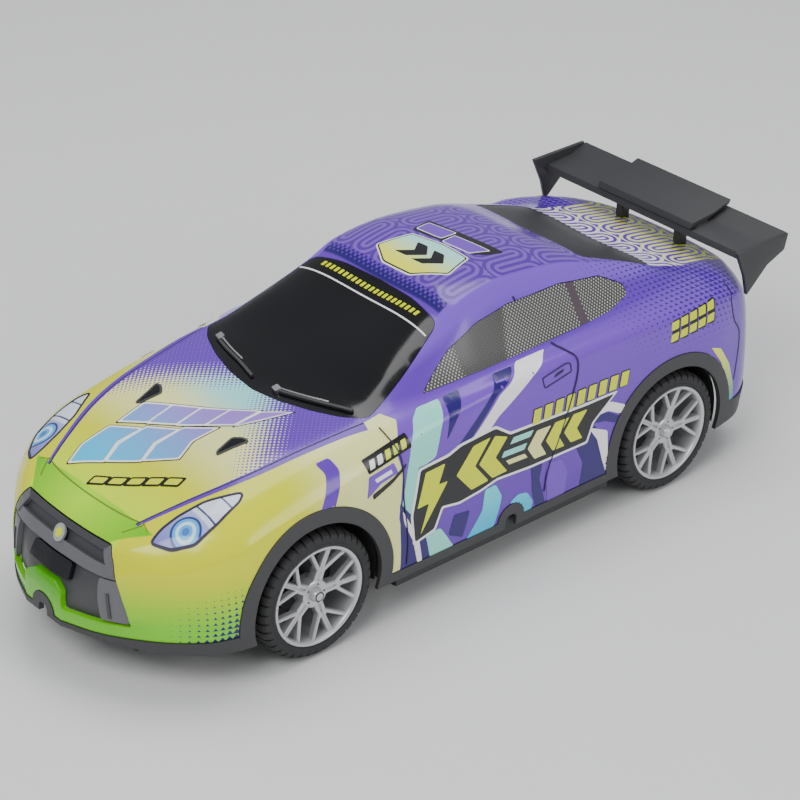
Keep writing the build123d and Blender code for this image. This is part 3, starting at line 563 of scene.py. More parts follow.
skin_tree = BVHTree.FromPolygons(
    [v.co for v in outer_hull.vertices], [tuple(p.vertices) for p in outer_hull.polygons], epsilon=0.0
)
VIEWS = {
    "left": (0, 0.2, Vector((-1, 0, 0))),
    "right": (0, -0.2, Vector((1, 0, 0))),
    "top": (2, 0.2, Vector((0, 0, -1))),
    "front": (1, -0.3, Vector((0, 1, 0))),
    "back": (1, 0.3, Vector((0, -1, 0))),
}


def touch(point, view):
    """Where a straight line seen from one side meets the body, and the surface's direction there."""
    axis, far, direction = VIEWS[view]
    start = Vector(np.insert(np.asarray(point, float) * MM, axis, far))
    place, normal, _, _ = skin_tree.ray_cast(start, direction)
    if place is None:
        return None, None
    return place / MM, normal if normal.dot(direction) < 0 else -normal


def inside(points, loops_):
    """Which points lie inside an odd number of outlines."""
    points = np.asarray(points, float)
    odd = np.zeros(len(points), bool)
    for loop in loops_:
        ring = np.asarray(loop, float)
        for (x0, y0), (x1, y1) in zip(ring, np.roll(ring, -1, 0)):
            crosses = (y0 > points[:, 1]) != (y1 > points[:, 1])
            at = x0 + (points[:, 1] - y0) * (x1 - x0) / (y1 - y0 if y1 != y0 else 1e-9)
            odd ^= crosses & (points[:, 0] < at)
    return odd


def slab(outline, view, low, high, holes=(), spacing=1.6, keep=None):
    """A thin piece lying on the body under an outline, between two heights above its surface."""
    loops_ = [outline, *holes]
    verts, edges = [], []
    for loop in loops_:
        ring, base = [], len(verts)
        for a, b in zip(np.asarray(loop, float), np.roll(np.asarray(loop, float), -1, 0)):
            parts = max(1, int(math.ceil(np.linalg.norm(b - a) / spacing)))
            ring += [a + (b - a) * k / parts for k in range(parts)]
        verts += ring
        edges += [(base + i, base + (i + 1) % len(ring)) for i in range(len(ring))]
    box = np.asarray(outline, float)
    across = np.arange(box[:, 0].min(), box[:, 0].max(), spacing)
    up = np.arange(box[:, 1].min(), box[:, 1].max(), spacing)
    inner = np.array([(a, b) for a in across for b in up]) if len(across) and len(up) else np.zeros((0, 2))
    if len(inner):
        inner = inner[inside(inner, loops_)]
        rim = np.asarray(verts)
        far = [np.min(np.linalg.norm(rim - p, axis=1)) > spacing * 0.45 for p in inner]
        verts += list(inner[np.asarray(far, bool)]) if len(inner) else []
    result = delaunay_2d_cdt([Vector(v) for v in verts], edges, [], 0, 1e-6)
    flat = [tuple(v) for v in result[0]]
    faces = [f for f in result[2]]
    centres = [np.mean([flat[i] for i in f], axis=0) for f in faces]
    picked = inside(centres, loops_)
    placed = [touch(p, view) for p in flat]
    ok = [p[0] is not None for p in placed]
    faces = [f for f, yes in zip(faces, picked) if yes and all(ok[i] for i in f)]
    if keep:
        faces = [f for f in faces if keep(np.mean([placed[i][0] for i in f], axis=0))]
    used = sorted({i for f in faces for i in f})
    number = {i: k for k, i in enumerate(used)}
    normals = smooth_normals([placed[i][0] for i in used], [placed[i][1] for i in used])
    top = [np.array(placed[i][0]) + n * high for i, n in zip(used, normals)]
    bottom = [np.array(placed[i][0]) + n * low for i, n in zip(used, normals)]
    count = len(used)
    solid = [tuple(number[i] for i in f) for f in faces]
    border = {}
    for f in solid:
        for a, b in zip(f, f[1:] + f[:1]):
            border[a, b] = border.get((a, b), 0) + 1
    walls = [(b, a, a + count, b + count) for (a, b) in border if (b, a) not in border]
    under = [tuple(i + count for i in reversed(f)) for f in solid]
    return top + bottom, solid + under + walls


def smooth_normals(points, normals):
    """Surface directions read a little around each point, so that pieces don't show the skin's facets."""
    result = []
    for place, normal in zip(points, normals):
        near = skin_tree.find_nearest_range(Vector(place) * MM, SKIN_REACH * MM)
        total = Vector(normal) * 0.2
        for _, other, _, _ in near:
            other = other if other.dot(normal) > 0 else -other
            if other.dot(normal) > 0.6:
                total = total + other
        result.append(np.array(total.normalized()))
    return result


class Prints:
    """Thin printed shapes gathered into one piece for each ink."""

    def __init__(self):
        self.parts = {}

    def add(self, material, outline, view, height, holes=(), keep=None):
        height += PRINT_LIFT
        verts, faces = slab(outline, view, height - PRINT_THICK, height, holes, PRINT_SPACING, keep)
        if faces:
            self.parts.setdefault(material, []).append((verts, faces))

    def both(self, material, outline, height, holes=(), keep=None):
        for view in ("left", "right"):
            self.add(material, outline, view, height, holes, keep)

    def make(self):
        for material, parts in self.parts.items():
            verts, faces = [], []
            for some, sides in parts:
                faces += [tuple(i + len(verts) for i in f) for f in sides]
                verts += list(some)
            piece("print_" + material.name, outward(mesh_from("print", verts, faces)), material)


# ---- openings
WINDSCREEN = rounded([
    (0, -50.8), (12, -49.8), (22, -47.2), (31.5, -43.2), (37.2, -38.6), (33.6, -22), (28.6, -4.6), (15, -2.8),
    (0, -2.2), (-15, -2.8), (-28.6, -4.6), (-33.6, -22), (-37.2, -38.6), (-31.5, -43.2), (-22, -47.2), (-12, -49.8),
], 2.4)
REAR_WINDOW = rounded([(-24, 56.5), (24, 56.5), (27.6, 84), (18, 86), (-18, 86), (-27.6, 84)], 3.0)
SIDE_WINDOW = rounded([
    (-19.4, 63.8), (20, 64.3), (56, 64.8), (66, 66.2), (66.4, 68.8), (58, 73.4), (41, 76.6), (19, 77.4), (6, 75.8),
    (-6, 71.4),
], 1.4)
HEADLIGHT = rounded([
    (29.3, -108.6), (28.8, -104.5), (29.4, -99), (31.4, -91.5), (36.6, -82.4), (38.2, -85), (39.0, -93),
    (38.6, -100.5), (34.6, -105.6),
], 1.4)
GRILLE_HALF = [
    (20.2, 44.0), (23.2, 40.0), (26.0, 33.0), (27.9, 27.0), (29.2, 21.6), (9.0, 21.6), (8.6, 26.4), (4.6, 28.6),
]
GRILLE = rounded(GRILLE_HALF + [(-px, pz) for px, pz in reversed(GRILLE_HALF)], 1.0)
TAILLIGHT = rounded([(20, 42), (34.5, 41.5), (36.5, 52), (24, 54)], 1.4)


def flipped(points):
    """An outline on the other side of the car."""
    return [(-a, b) for a, b in points]


def moved(points, across, up=0.0):
    """An outline in another place."""
    return [(a + across, b + up) for a, b in points]


def trim_parts(extra):
    """Blocks that together hold everything below and around the paint edge, each a hair wider than the last."""
    def strip(start, end, low, top, half):
        return prism([(start, low), (end, low), (end, top + extra), (start, top + extra)], 0, -half, half)

    return [
        strip(-130, 130, 0, SILL_TOP, 60),
        strip(-130, FRONT_Y - 10, 0.1, LIP_TOP, 60.1),
        strip(REAR_Y + 10, 130, 0.2, VALANCE_TOP, 60.2),
        prism(circle(FRONT_Y, AXLE_Z, ARCH_TRIM_R + extra), 0, -60.3, 60.3),
        prism(circle(REAR_Y, AXLE_Z, ARCH_TRIM_R + extra), 0, -60.4, 60.4),
        prism(circle(BOSS_Y, SILL_TOP, BOSS_R + extra), 0, -60.5, 60.5),
        prism(circle(0, LIP_TOP, BOSS_R + extra), 1, -130.3, -110.3),
    ]


def boss_slot(middle, half, bottom, shoulder, top, axis, start, end, tip=1.2):
    """A slot cut up from below, narrower at its top."""
    return prism([
        (middle - half, bottom), (middle + half, bottom), (middle + half, shoulder), (middle + tip, top),
        (middle - tip, top), (middle - half, shoulder),
    ], axis, start, end)


arches = [prism(circle(y, AXLE_Z, ARCH_R), 0, -61, 61) for y in (FRONT_Y, REAR_Y)]
openings = [
    prism(WINDSCREEN, 2, 50, 95), prism(REAR_WINDOW, 2, 60, 95.1), prism(GRILLE, 1, -131, -98),
    prism(SIDE_WINDOW, 0, 24, 60), prism(SIDE_WINDOW, 0, -60, -24),
    prism(HEADLIGHT, 2, 39, 95), prism(flipped(HEADLIGHT), 2, 39, 95),
    prism(TAILLIGHT, 1, 106, 130), prism(flipped(TAILLIGHT), 1, 106, 130),
]
shell_mesh = combine(outer_hull.copy(), "DIFFERENCE", inner_hull.copy(), *arches, *trim_parts(PANEL_GAP), *openings)
piece("painted_shell", shell_mesh, shell_finish, stands_for=["body_shell"])

region_first, *region_rest = trim_parts(0.0)
region = combine(region_first, "UNION", *region_rest)
slots = [
    boss_slot(BOSS_Y, BOSS_SLOT / 2, -1, SILL_TOP + 0.2, SILL_TOP + 1.4, 0, -62, 62),
    boss_slot(0, 2, 0, LIP_TOP + 0.6, LIP_TOP + 1.6, 1, -131, -109),
]
trim_arches = [prism(circle(y, AXLE_Z, ARCH_R), 0, -61, 61) for y in (FRONT_Y, REAR_Y)]
trim_mesh = combine(proud_hull, "INTERSECT", region)
trim_mesh = combine(trim_mesh, "DIFFERENCE", inner_hull.copy(), *trim_arches, *slots)
piece("lower_trim_moulding", trim_mesh, trim_finish, stands_for=["lower_trim"])


def arch_liner(side, axle_y):
    """A dark band round the inside of one wheel arch."""
    verts, faces = [], []
    turns = np.radians(np.linspace(-14, 194, 53))
    outer = LINER_R + LINER_WALL
    for a in turns:
        for px, r in ((LINER_IN_X, LINER_R), (LINER_OUT_X, LINER_R), (LINER_OUT_X, outer), (LINER_IN_X, outer)):
            verts.append((px * side, axle_y + r * math.cos(a), AXLE_Z + r * math.sin(a)))
    for i in range(len(turns) - 1):
        faces += [(i * 4 + j, i * 4 + (j + 1) % 4, i * 4 + 4 + (j + 1) % 4, i * 4 + 4 + j) for j in range(4)]
    faces += [(0, 1, 2, 3), tuple(len(verts) - 4 + j for j in range(4))]
    return outward(mesh_from("liner", verts, faces))


for side_name, side in (("left", 1), ("right", -1)):
    for end, y in (("front", FRONT_Y), ("rear", REAR_Y)):
        piece(f"arch_liner_{end}_{side_name}", arch_liner(side, y), disc_finish, sharp=40)

# ---- glazing and lamps
def pane(name, outline, view, material, node=None, low=-1.2, high=-0.12, gap=0.16):
    verts, faces = slab(grown(outline, -gap), view, low, high, spacing=1.8)
    piece(name, outward(mesh_from(name, verts, faces)), material, stands_for=[node] if node else ())


pane("front_screen", WINDSCREEN, "top", screen_finish, "windscreen")
pane("back_screen", REAR_WINDOW, "top", rear_screen_finish, "rear_window")
for side in ("left", "right"):
    pane(f"side_glass_{side}", SIDE_WINDOW, side, side_glass_finish, f"side_window_{side}")
    lamp = HEADLIGHT if side == "left" else flipped(HEADLIGHT)
    pane(f"headlamp_lens_{side}", lamp, "top", lamp_finish, f"headlight_{side}", low=-1.4, high=-0.05)
    lamp = TAILLIGHT if side == "left" else flipped(TAILLIGHT)
    pane(f"tail_lens_{side}", lamp, "back", tail_finish, f"taillight_{side}", high=0.1)

# ---- grille insert
pane("grille_base", GRILLE, "front", grille_finish, "front_grille", low=-3.0, high=-1.9, gap=0.1)


def raised(name, outlines, view, low, high, material, stands_for=()):
    """One piece of several slabs that stand on the body."""
    verts, faces = [], []
    for outline in outlines:
        more, sides = slab(outline, view, low, high, spacing=1.2)
        faces += [tuple(i + len(verts) for i in f) for f in sides]
        verts += more
    piece(name, outward(mesh_from(name, verts, faces)), material, stands_for=stands_for)


corner = [(19.9, 43.7), (22.9, 39.8), (24.3, 36.2), (22.2, 36.2), (20.6, 38.6), (18.0, 42.2)]
plate = rounded([(-9, 35.0), (9, 35.0), (9.6, 30.4), (-9.6, 30.4)], 0.8)
cheek = rounded([(19.6, 35.0), (25.2, 35.0), (27.6, 27.0), (28.8, 22.2), (21.4, 22.2), (20.2, 28)], 0.8)
rib = [(22.4, 30.8), (23.2, 30.8), (24.2, 23.4), (23.4, 23.4)]
for name, outlines, low, high, material in (
    ("top_bar", [[(-19.6, 43.6), (19.6, 43.6), (18.4, 41.9), (-18.4, 41.9)]], -1.9, -0.15, grille_finish),
    ("corner", [corner, flipped(corner)], -1.9, -0.15, grille_light),
    ("middle_bar", [[(-23.4, 38.6), (23.4, 38.6), (24.6, 35.4), (-24.6, 35.4)]], -1.9, -0.5, grille_light),
    ("plate", [plate], -1.9, -0.2, black_ink),
    ("cheek", [cheek, flipped(cheek)], -1.9, -0.45, grille_light),
    ("vent_rib", [rib, flipped(rib)], -0.5, 0.0, grille_finish),
    ("badge", [circle(0, 39.8, 2.3, 40)], -0.6, 0.25, rim_finish),
    ("badge_centre", [circle(0, 39.8, 1.4, 6)], 0.2, 0.4, yellow_ink),
):
    raised("grille_" + name, outlines, "front", low, high, material)

# ---- livery
prints = Prints()


def off_trim(place):
    """Whether a place lies on the painted part of the side."""
    y, z = place[1], place[2]
    for cy in (FRONT_Y, REAR_Y):
        if math.hypot(y - cy, z - AXLE_Z) < ARCH_TRIM_R + 0.1:
            return False
    return z > SILL_TOP - 0.3 and math.hypot(y - BOSS_Y, z - SILL_TOP) > BOSS_R + 0.1


def on_side(material, outline, height, corner=0.8):
    """A print on both sides of the body, cut off where the dark trim begins."""
    prints.both(material, rounded(outline, corner), height, keep=off_trim)


def on_top(outline, *coats):
    """Prints on top of each other, seen from above: (ink, growth, corner, height) for each."""
    for material, growth, corner, height in coats:
        prints.add(material, rounded(grown(outline, growth), corner), "top", height)


on_side(indigo_ink, [
    (-35.6, 15.6), (-24, 15.6), (-29.5, 33), (-24.4, 45), (-22.5, 58), (-26, 57.6), (-31, 46), (-36.2, 38),
], 0.04)
on_side(mint_ink, [
    (-26.6, 60.3), (-23.3, 62.0), (-15.4, 62.2), (-19.2, 56.1), (-22.2, 48.6), (-25.6, 47.6), (-29.1, 47.6),
    (-27.8, 39.8), (-32, 33.3), (-35.4, 37.9), (-33, 47.6), (-30.2, 55.7),
], 0.08)
on_side(indigo_ink, [(-14.2, 62.2), (-7.8, 62.5), (-17.6, 52.1)], 0.04)
on_side(indigo_ink, [(5.1, 62.9), (12.8, 62.9), (2.6, 58.9), (-9.1, 48.8), (-13.3, 49)], 0.04)
on_side(white_ink, [
    (14.9, 63.3), (26.5, 63.4), (17.6, 60.3), (2.3, 52.6), (-3, 48.4), (-9.5, 48.1), (-5.8, 50.8), (3.6, 58.6),
], 0.08)
on_side(indigo_ink, [(33.3, 30.5), (40.9, 35.4), (45.6, 27.8), (46.6, 15.6), (35.7, 15.6), (36.4, 24)], 0.04)
on_side(white_ink, [(38.2, 35.6), (46.4, 31.6), (46.9, 24), (47.2, 15.6), (44.6, 22), (42.2, 30)], 0.08)
on_side(white_ink, [(40.8, 40.9), (47.6, 41.2), (53.6, 38), (51.6, 35.6), (46.5, 38.4), (41, 38.4)], 0.08)
on_side(indigo_ink, [(39.6, 38.1), (46.3, 38), (51.6, 34.8), (49.8, 33), (45, 35.4), (39.2, 36.4)], 0.08)
on_side(violet_ink, [(21.3, 29.8), (27.5, 28.8), (30, 23.8), (29.4, 15.6), (22.5, 15.6), (21.2, 24.1)], 0.08)
on_side(indigo_ink, [(14.8, 31), (19.6, 30.4), (18.4, 25.2), (21.6, 15.6), (17.6, 15.6), (15.6, 21.8)], 0.04)
on_side(cyan_ink, [
    (-3.4, 30.2), (0.8, 30.4), (3.2, 25.6), (2.4, 21.5), (0.5, 15.6), (-10.1, 15.6), (-4.4, 23.6),
], 0.08)
on_side(cyan_ink, [
    (6.8, 21.8), (10, 23.4), (13.6, 22.6), (16.3, 18.4), (15.8, 15.6), (12.4, 15.6), (9.2, 18.6),
], 0.08)
on_side(mint_ink, [(-26.6, 24.6), (-20.7, 24.2), (-15.2, 15.6), (-24.4, 15.6)], 0.08)
on_side(white_ink, [(-35.2, 35.9), (-29.2, 24.4), (-27.4, 15.6), (-29.2, 15.6), (-31.4, 24.4), (-34.6, 31.6)], 0.12)
on_side(indigo_ink, [(-15.6, 26.6), (-9.4, 25.8), (-11.8, 17.2), (-17.6, 20.4)], 0.04)

# door emblem: a bolt, two large chevrons, three dashes and three small chevrons on a black and white backing
backing = [
    (-31.4, 32.8), (-28.2, 46.4), (-17.4, 46.9), (-12.6, 48.4), (0.8, 49.2), (6.4, 45.2), (37.9, 43.6),
    (48.5, 43.6), (39.6, 36.9), (37.4, 31.2), (14.4, 31.6), (1.2, 32.6), (-5.4, 31.2), (-13.6, 30.4), (-20.4, 31.6),
    (-23.4, 25.2), (-30.6, 23.6),
]
on_side(white_ink, grown(backing, 0.8), 0.16)
on_side(black_ink, backing, 0.20)
on_side(yellow_ink, [
    (-26.4, 45.0), (-19.0, 45.3), (-21.6, 39.4), (-18.2, 39.2), (-28.6, 25.4), (-25.4, 34.6), (-29.8, 34.4),
], 0.25, corner=0.5)
on_side(yellow_ink, [
    (-8.0, 46.8), (-1.4, 47.2), (-7.6, 40.0), (-2.4, 33.2), (-9.0, 32.6), (-14.8, 39.6),
], 0.25, corner=0.5)
on_side(yellow_ink, [
    (0.4, 47.0), (5.2, 45.0), (0.4, 39.8), (5.0, 33.6), (-0.8, 33.4), (-6.0, 39.9),
], 0.25, corner=0.5)
on_side(mint_ink, [(7.6, 43.9), (15.6, 43.4), (14.2, 41.6), (6.2, 42.0)], 0.25, corner=0.3)
on_side(mint_ink, [(3.8, 40.5), (13.0, 40.0), (11.8, 38.2), (2.8, 38.7)], 0.25, corner=0.3)
on_side(cream_ink, [(4.6, 37.1), (12.0, 36.7), (13.2, 35.0), (5.8, 35.4)], 0.25, corner=0.3)
chevron = [(0, 42.6), (5.6, 42.3), (1.4, 37.4), (3.8, 33.2), (-1.0, 33.4), (-3.8, 37.8)]
for k in range(3):
    on_side(yellow_ink if k else cream_ink, moved(chevron, 17.0 + 7.4 * k), 0.25, corner=0.4)

# rows of short slanted bars where a slogan would run
for k in range(9):
    bar = moved([(0, 45.0), (1.0, 49.6), (4.0, 49.5), (3.0, 44.9)], 15.2 + 4.45 * k)
    on_side(black_ink, grown(bar, 0.28), 0.12, corner=0.4)
    on_side(yellow_ink, bar, 0.17, corner=0.3)

# badges on the wing ahead of the door
tag = [(-47.2, 55.6), (-31.0, 58.4), (-30.4, 54.6), (-46.2, 51.6)]
on_side(black_ink, tag, 0.12, corner=0.4)
for k in range(5):
    bar = moved([(0, 52.6), (0.5, 54.9), (2.3, 55.2), (1.8, 52.9)], -45.6 + 2.9 * k, 0.18 * 2.9 * k)
    on_side(white_ink if k < 2 else yellow_ink, bar, 0.17, corner=0.2)
on_side(violet_ink, [(-46.4, 50.8), (-37.4, 52.2), (-36.2, 48.8), (-42.6, 47.6), (-47.8, 44.6)], 0.12, corner=0.4)
on_side(white_ink, [(-44.6, 49.6), (-38.6, 50.6), (-38.2, 49.4), (-44.0, 48.4)], 0.17, corner=0.2)
on_side(black_ink, [
    (-45.8, 45.2), (-38.0, 47.8), (-33.0, 50.6), (-33.6, 49.2), (-38.8, 46.2), (-45.6, 43.6),
], 0.12, corner=0.5)
on_side(purple_ink, [
    (-60.3, 57.6), (-55.7, 58.0), (-54.6, 55.2), (-56.4, 51.4), (-59.2, 46.0), (-64.4, 46.0), (-60.3, 52.6),
    (-59, 55.2),
], 0.10)
on_side(crescent_ink, [
    (90.4, 44.6), (95.0, 42.8), (100.2, 35.2), (103.0, 27.2), (103.6, 20.6), (101.0, 20.6), (99.6, 28.2),
    (96.0, 37.2),
], 0.12)
for k in range(5):
    for material, height, corner, shape in (
        (black_ink, 0.10, 0.4, [(-0.4, 52.4), (1.0, 59.2), (4.2, 59.4), (2.8, 52.2)]),
        (yellow_ink, 0.15, 0.3, [(0, 56.4), (0.6, 58.8), (3.6, 59.0), (3.0, 56.5)]),
        (yellow_ink, 0.15, 0.3, [(-0.6, 52.8), (0, 55.2), (3.0, 55.4), (2.4, 52.9)]),
    ):
        on_side(material, moved(shape, 72.6 + 4.0 * k, 0.28 * k), height, corner)

# bonnet emblem: four slanted bars above three swept arrowheads, outlined in black and white
bar = [(0, 0), (-0.4, 8.6), (6.4, 13.2), (6.6, 4.6)]
arrow = [(0, 0), (-2.4, 6.0), (-1.6, 15.0), (6.4, 20.0), (5.2, 12.6), (8.2, 5.8)]
shapes = [moved(bar, -16.6 + 7.3 * k, -85.4 + 4.9 * k) for k in range(4)]
shapes.append([(13.0, -65.8), (12.8, -57.2), (19.0, -51.8), (15.4, -60.8)])
shapes += [moved(arrow, -15.6 + 9.0 * k, -104.0 + 6.6 * k) for k in range(3)]
for outline in shapes:
    on_top(outline, (black_ink, 0.95, 0.8, 0.05), (white_ink, 0.62, 0.7, 0.10), (emblem_ink, -0.05, 0.6, 0.15))
for k in range(5):
    dash = moved([(0, 0), (-0.5, 2.9), (3.6, 5.3), (4.1, 2.4)], -3.6 + 4.9 * k, -106.4 + 2.9 * k)
    on_top(dash, (black_ink, 0.45, 0.8, 0.10), (yellow_ink, -0.25, 0.5, 0.14))

# roof emblem: a bar pair above a six-sided shield with two arrowheads cut through it
band = [(-9.2, 19.8), (-10.6, 26.6), (17.0, 30.0), (16.4, 26.0), (14.0, 22.4)]
on_top(band, (black_ink, 0.8, 1.0, 0.06))
for a, b in ((-9.2, 0.5), (2.6, 11.6)):
    bar = [(a, 20.4), (a - 0.8, 25.8), (b - 0.2 if a < 0 else b + 3.6, 27.4), (b if a < 0 else b + 1.6, 21.4)]
    on_top(bar, (white_ink, 0.35, 0.9, 0.10), (violet_ink, 0.0, 0.7, 0.14))
crest = [(-10.6, 6.4), (-6.8, 16.4), (4.6, 18.6), (15.2, 18.2), (17.4, 9.2), (8.4, 2.8), (-3.6, 2.6)]
arrow = [(-4.6, 7.4), (0.4, 11.0), (-2.2, 14.6), (2.0, 14.9), (5.6, 11.4), (0.4, 7.6)]
arrows = [rounded(moved(arrow, k), 0.5) for k in (0, 7.4)]
on_top(crest, (white_ink, 0.9, 1.0, 0.08), (black_ink, 0.45, 0.9, 0.12))
prints.add(roof_emblem_ink, rounded(crest, 0.8), "top", 0.16, holes=arrows)


def ribbon(points, width):
    """A band of even width along a line of points."""
    points = np.asarray(points, float)
    run = np.gradient(points, axis=0)
    side = np.stack([-run[:, 1], run[:, 0]], axis=1)
    side /= np.linalg.norm(side, axis=1)[:, None]
    half = np.broadcast_to(np.asarray(width, float) / 2, (len(points),))[:, None]
    return [tuple(p) for p in points + side * half] + [tuple(p) for p in (points - side * half)[::-1]]


def eased(points, steps=5):
    """A smooth line through points."""
    points = np.asarray(points, float)
    return section_curves(points[None], steps, crisp=0.0)[0]


# crease stripe between bonnet and wing, panel lines, door handle
crease = eased([
    (21.6, -107.6), (23.4, -103.6), (26.6, -96.2), (30.6, -86), (33.6, -74.6), (35.6, -60), (37.4, -46),
    (38.2, -40),
])
for flip in (1, -1):
    line = crease * (flip, 1)
    fork = np.array([(flip * 19.9, -111.5), (flip * 23.4, -106.4), (flip * 26, -107.2)])
    prints.add(purple_ink, ribbon(line, np.linspace(0.9, 3.4, len(line))), "top", 0.05)
    prints.add(line_finish, ribbon(line - (flip * 0.5, 0), 0.4), "top", 0.09)
    prints.add(seam_finish, ribbon(fork, 0.35), "top", 0.05)
bonnet_edge = eased([(-23.4, -106.2), (-14, -107.9), (0, -108.7), (14, -107.9), (23.4, -106.2)])
prints.add(seam_finish, ribbon(bonnet_edge, 0.4), "top", 0.05)
door_rear = eased([
    (22.2, 78.4), (24.0, 73.2), (26.2, 68.4), (29.8, 64.0), (34.2, 60.2), (34.0, 56.0), (30.4, 46.8), (26.2, 37.0),
    (21.6, 27.0), (20.6, 20.2),
], 4)
door_front = eased([(-37.0, 60.4), (-34.6, 52), (-34.8, 40), (-33.4, 28), (-33.4, 17)], 4)
quarter = eased([(103.2, 60.2), (101.6, 56), (102.4, 49.5), (105.6, 44.4), (104.6, 34), (103.4, 28)], 4)
handle = rounded([(20.6, 54.8), (20.0, 58.4), (30.0, 60.0), (31.8, 59.4), (31.8, 56.6)], 0.8)
latch = rounded([(24.6, 57.0), (25.4, 57.9), (28.8, 58.5), (28.4, 57.7)], 0.3)
prints.both(line_finish, ribbon(door_rear, 0.42), 0.32, keep=lambda p: p[2] < 64.0 or p[2] > 77.2)
prints.both(line_finish, ribbon(door_front, 0.35), 0.3, keep=off_trim)
prints.both(line_finish, handle, 0.10, holes=[grown(handle, -0.4)])
prints.both(line_finish, latch, 0.10)
prints.both(line_finish, ribbon(quarter, 0.4), 0.10, keep=off_trim)
lamp_edge = rounded(grown(HEADLIGHT, 0.55), 1.2)
for outline in (lamp_edge, flipped(lamp_edge)):
    prints.add(line_finish, outline, "top", 0.10, holes=[grown(outline, -0.62)])

# tail: rims and rings of the lamps, boot line
for flip in (1, -1):
    lamp_rim = [(flip * a, b) for a, b in grown(TAILLIGHT, 0.7)]
    prints.add(line_finish, lamp_rim, "back", 0.14, holes=[grown(lamp_rim, -0.8)])
    for at in (25.4, 31.8):
        outer, inner = (circle(flip * at, 47.2, r, 40) for r in (2.6, 2.1))
        prints.add(white_ink, outer, "back", 0.14, holes=[inner])
boot = eased([(-19.4, 56), (-18.6, 46), (-16.8, 40.4), (-12, 38.2), (12, 38.2), (16.8, 40.4), (18.6, 46), (19.4, 56)])
bumper = eased([(-40, 31.5), (-30, 32.4), (-12, 33), (12, 33), (30, 32.4), (40, 31.5)])
prints.add(line_finish, ribbon(boot, 0.4), "back", 0.08)
prints.add(line_finish, ribbon(bumper, 0.35), "back", 0.08)

# windscreen print: a white line along the roof edge, yellow ticks between it and the edge
top_line = eased([(-29.0, -9.4), (-15, -8.9), (0, -8.7), (15, -8.9), (29.0, -9.4)])
prints.add(white_ink, ribbon(top_line, 0.45), "top", 0.02)
for k in range(22):
    tick = moved([(0, -6.6), (0.4, -5.0), (1.5, -5.0), (1.1, -6.6)], -22.4 + 2.02 * k)
    prints.add(yellow_ink, rounded(tick, 0.2), "top", 0.03)
prints.make()

# ---- raised details on the body
vent = rounded([(16.6, -70.6), (18.0, -77.4), (19.6, -78.4), (21.0, -72.4), (22.2, -68.6), (19.6, -68.4)], 1.0)
raised("bonnet_scoops", [vent, flipped(vent)], "top", -0.3, 0.3, trim_finish)
vent_mouth = grown(vent, -0.75)
raised("bonnet_scoop_mouths", [vent_mouth, flipped(vent_mouth)], "top", 0.2, 0.36, screen_finish, ["bonnet_vents"])
arms = [[(-28.4, -41.6), (-20.8, -43.6), (-13.3, -45.0), (-4.7, -46.9)],
        [(5.6, -47.2), (14.6, -45.2), (23.6, -42.4), (32.2, -39.4)]]
blades = [ribbon(eased(np.asarray(a)[:3] + (0.3, 1.1)), 0.5) for a in arms]
clips = [rounded(moved([(-0.4, -0.2), (-0.1, 1.9), (2.6, 1.3), (2.4, -0.9)], *a[0]), 0.5) for a in arms]
raised("wiper_arms", [ribbon(eased(a), 0.9) for a in arms], "top", 0.0, 0.8, trim_finish, ["wipers"])
raised("wiper_blades", blades, "top", 0.0, 0.7, steel_finish)
raised("wiper_clips", clips, "top", 0.0, 1.2, steel_finish)

plate = rounded([(-10, 42.4), (10, 42.4), (10, 48.4), (-10, 48.4)], 0.9)
lower = rounded([(-27, 21.3), (27, 21.3), (21, 28.4), (-21, 28.4)], 1.2)
fins = [[(x - 0.5, 21.8), (x + 0.5, 21.8), (x * 0.92 + 0.4, 27.4), (x * 0.92 - 0.4, 27.4)]
        for x in (-16, -8, 0, 8, 16)]
raised("tail_plate_panel", [plate], "back", -0.3, 0.4, black_ink)
raised("tail_lower_panel", [lower], "back", -0.3, 0.3, trim_finish)
raised("tail_lower_fins", fins, "back", 0.2, 1.0, wing_finish)

# ---- wheels
def lathe(profile, count=96):
    """A closed ring of (x, r) points turned about the X axis."""
    n = len(profile)
    verts = [(px, r * math.cos(a), r * math.sin(a))
             for a in np.linspace(0, 2 * math.pi, count, endpoint=False) for px, r in profile]
    faces = [(i * n + j, i * n + (j + 1) % n, (i + 1) % count * n + (j + 1) % n, (i + 1) % count * n + j)
             for i in range(count) for j in range(n)]
    return outward(mesh_from("lathe", verts, faces))


def bar_mesh(sections):
    """Loft of closed (x, y, z) sections with flat ends."""
    n = len(sections[0])
    verts = [p for s in sections for p in s]
    faces = [(i * n + j, i * n + (j + 1) % n, (i + 1) * n + (j + 1) % n, (i + 1) * n + j)
             for i in range(len(sections) - 1) for j in range(n)]
    faces += [tuple(range(n)), tuple(range((len(sections) - 1) * n, len(sections) * n))]
    return outward(mesh_from("bar", verts, faces))


def spoke(start, end, half_width, depth, groove=0.0, steps=6):
    """A spoke on the wheel face from one (radius, degrees) point to another."""
    a, b = (r * np.array([math.cos(math.radians(turn)), math.sin(math.radians(turn))]) for r, turn in (start, end))
    run = (b - a) / np.linalg.norm(b - a)
    across = np.array([-run[1], run[0]])
    sections = []
    for t in np.linspace(0, 1, steps):
        middle = a + (b - a) * t
        r = np.linalg.norm(middle)
        face = 46.9 + 1.4 * (r / 14.6) ** 1.6
        w = half_width[0] + (half_width[1] - half_width[0]) * t
        outline = [
            (-w, -depth), (-w, -0.35), (-w + 0.28, 0), (-w * 0.35, 0), (0, -groove), (w * 0.35, 0), (w - 0.28, 0),
            (w, -0.35), (w, -depth),
        ]
        sections.append([(face + dx, *(middle + across * s)) for s, dx in outline])
    return bar_mesh(sections)


def joined(meshes):
    """Several meshes as one."""
    work = bmesh.new()
    for mesh in meshes:
        work.from_mesh(mesh)
    return settled(work, bpy.data.meshes.new("joined"))


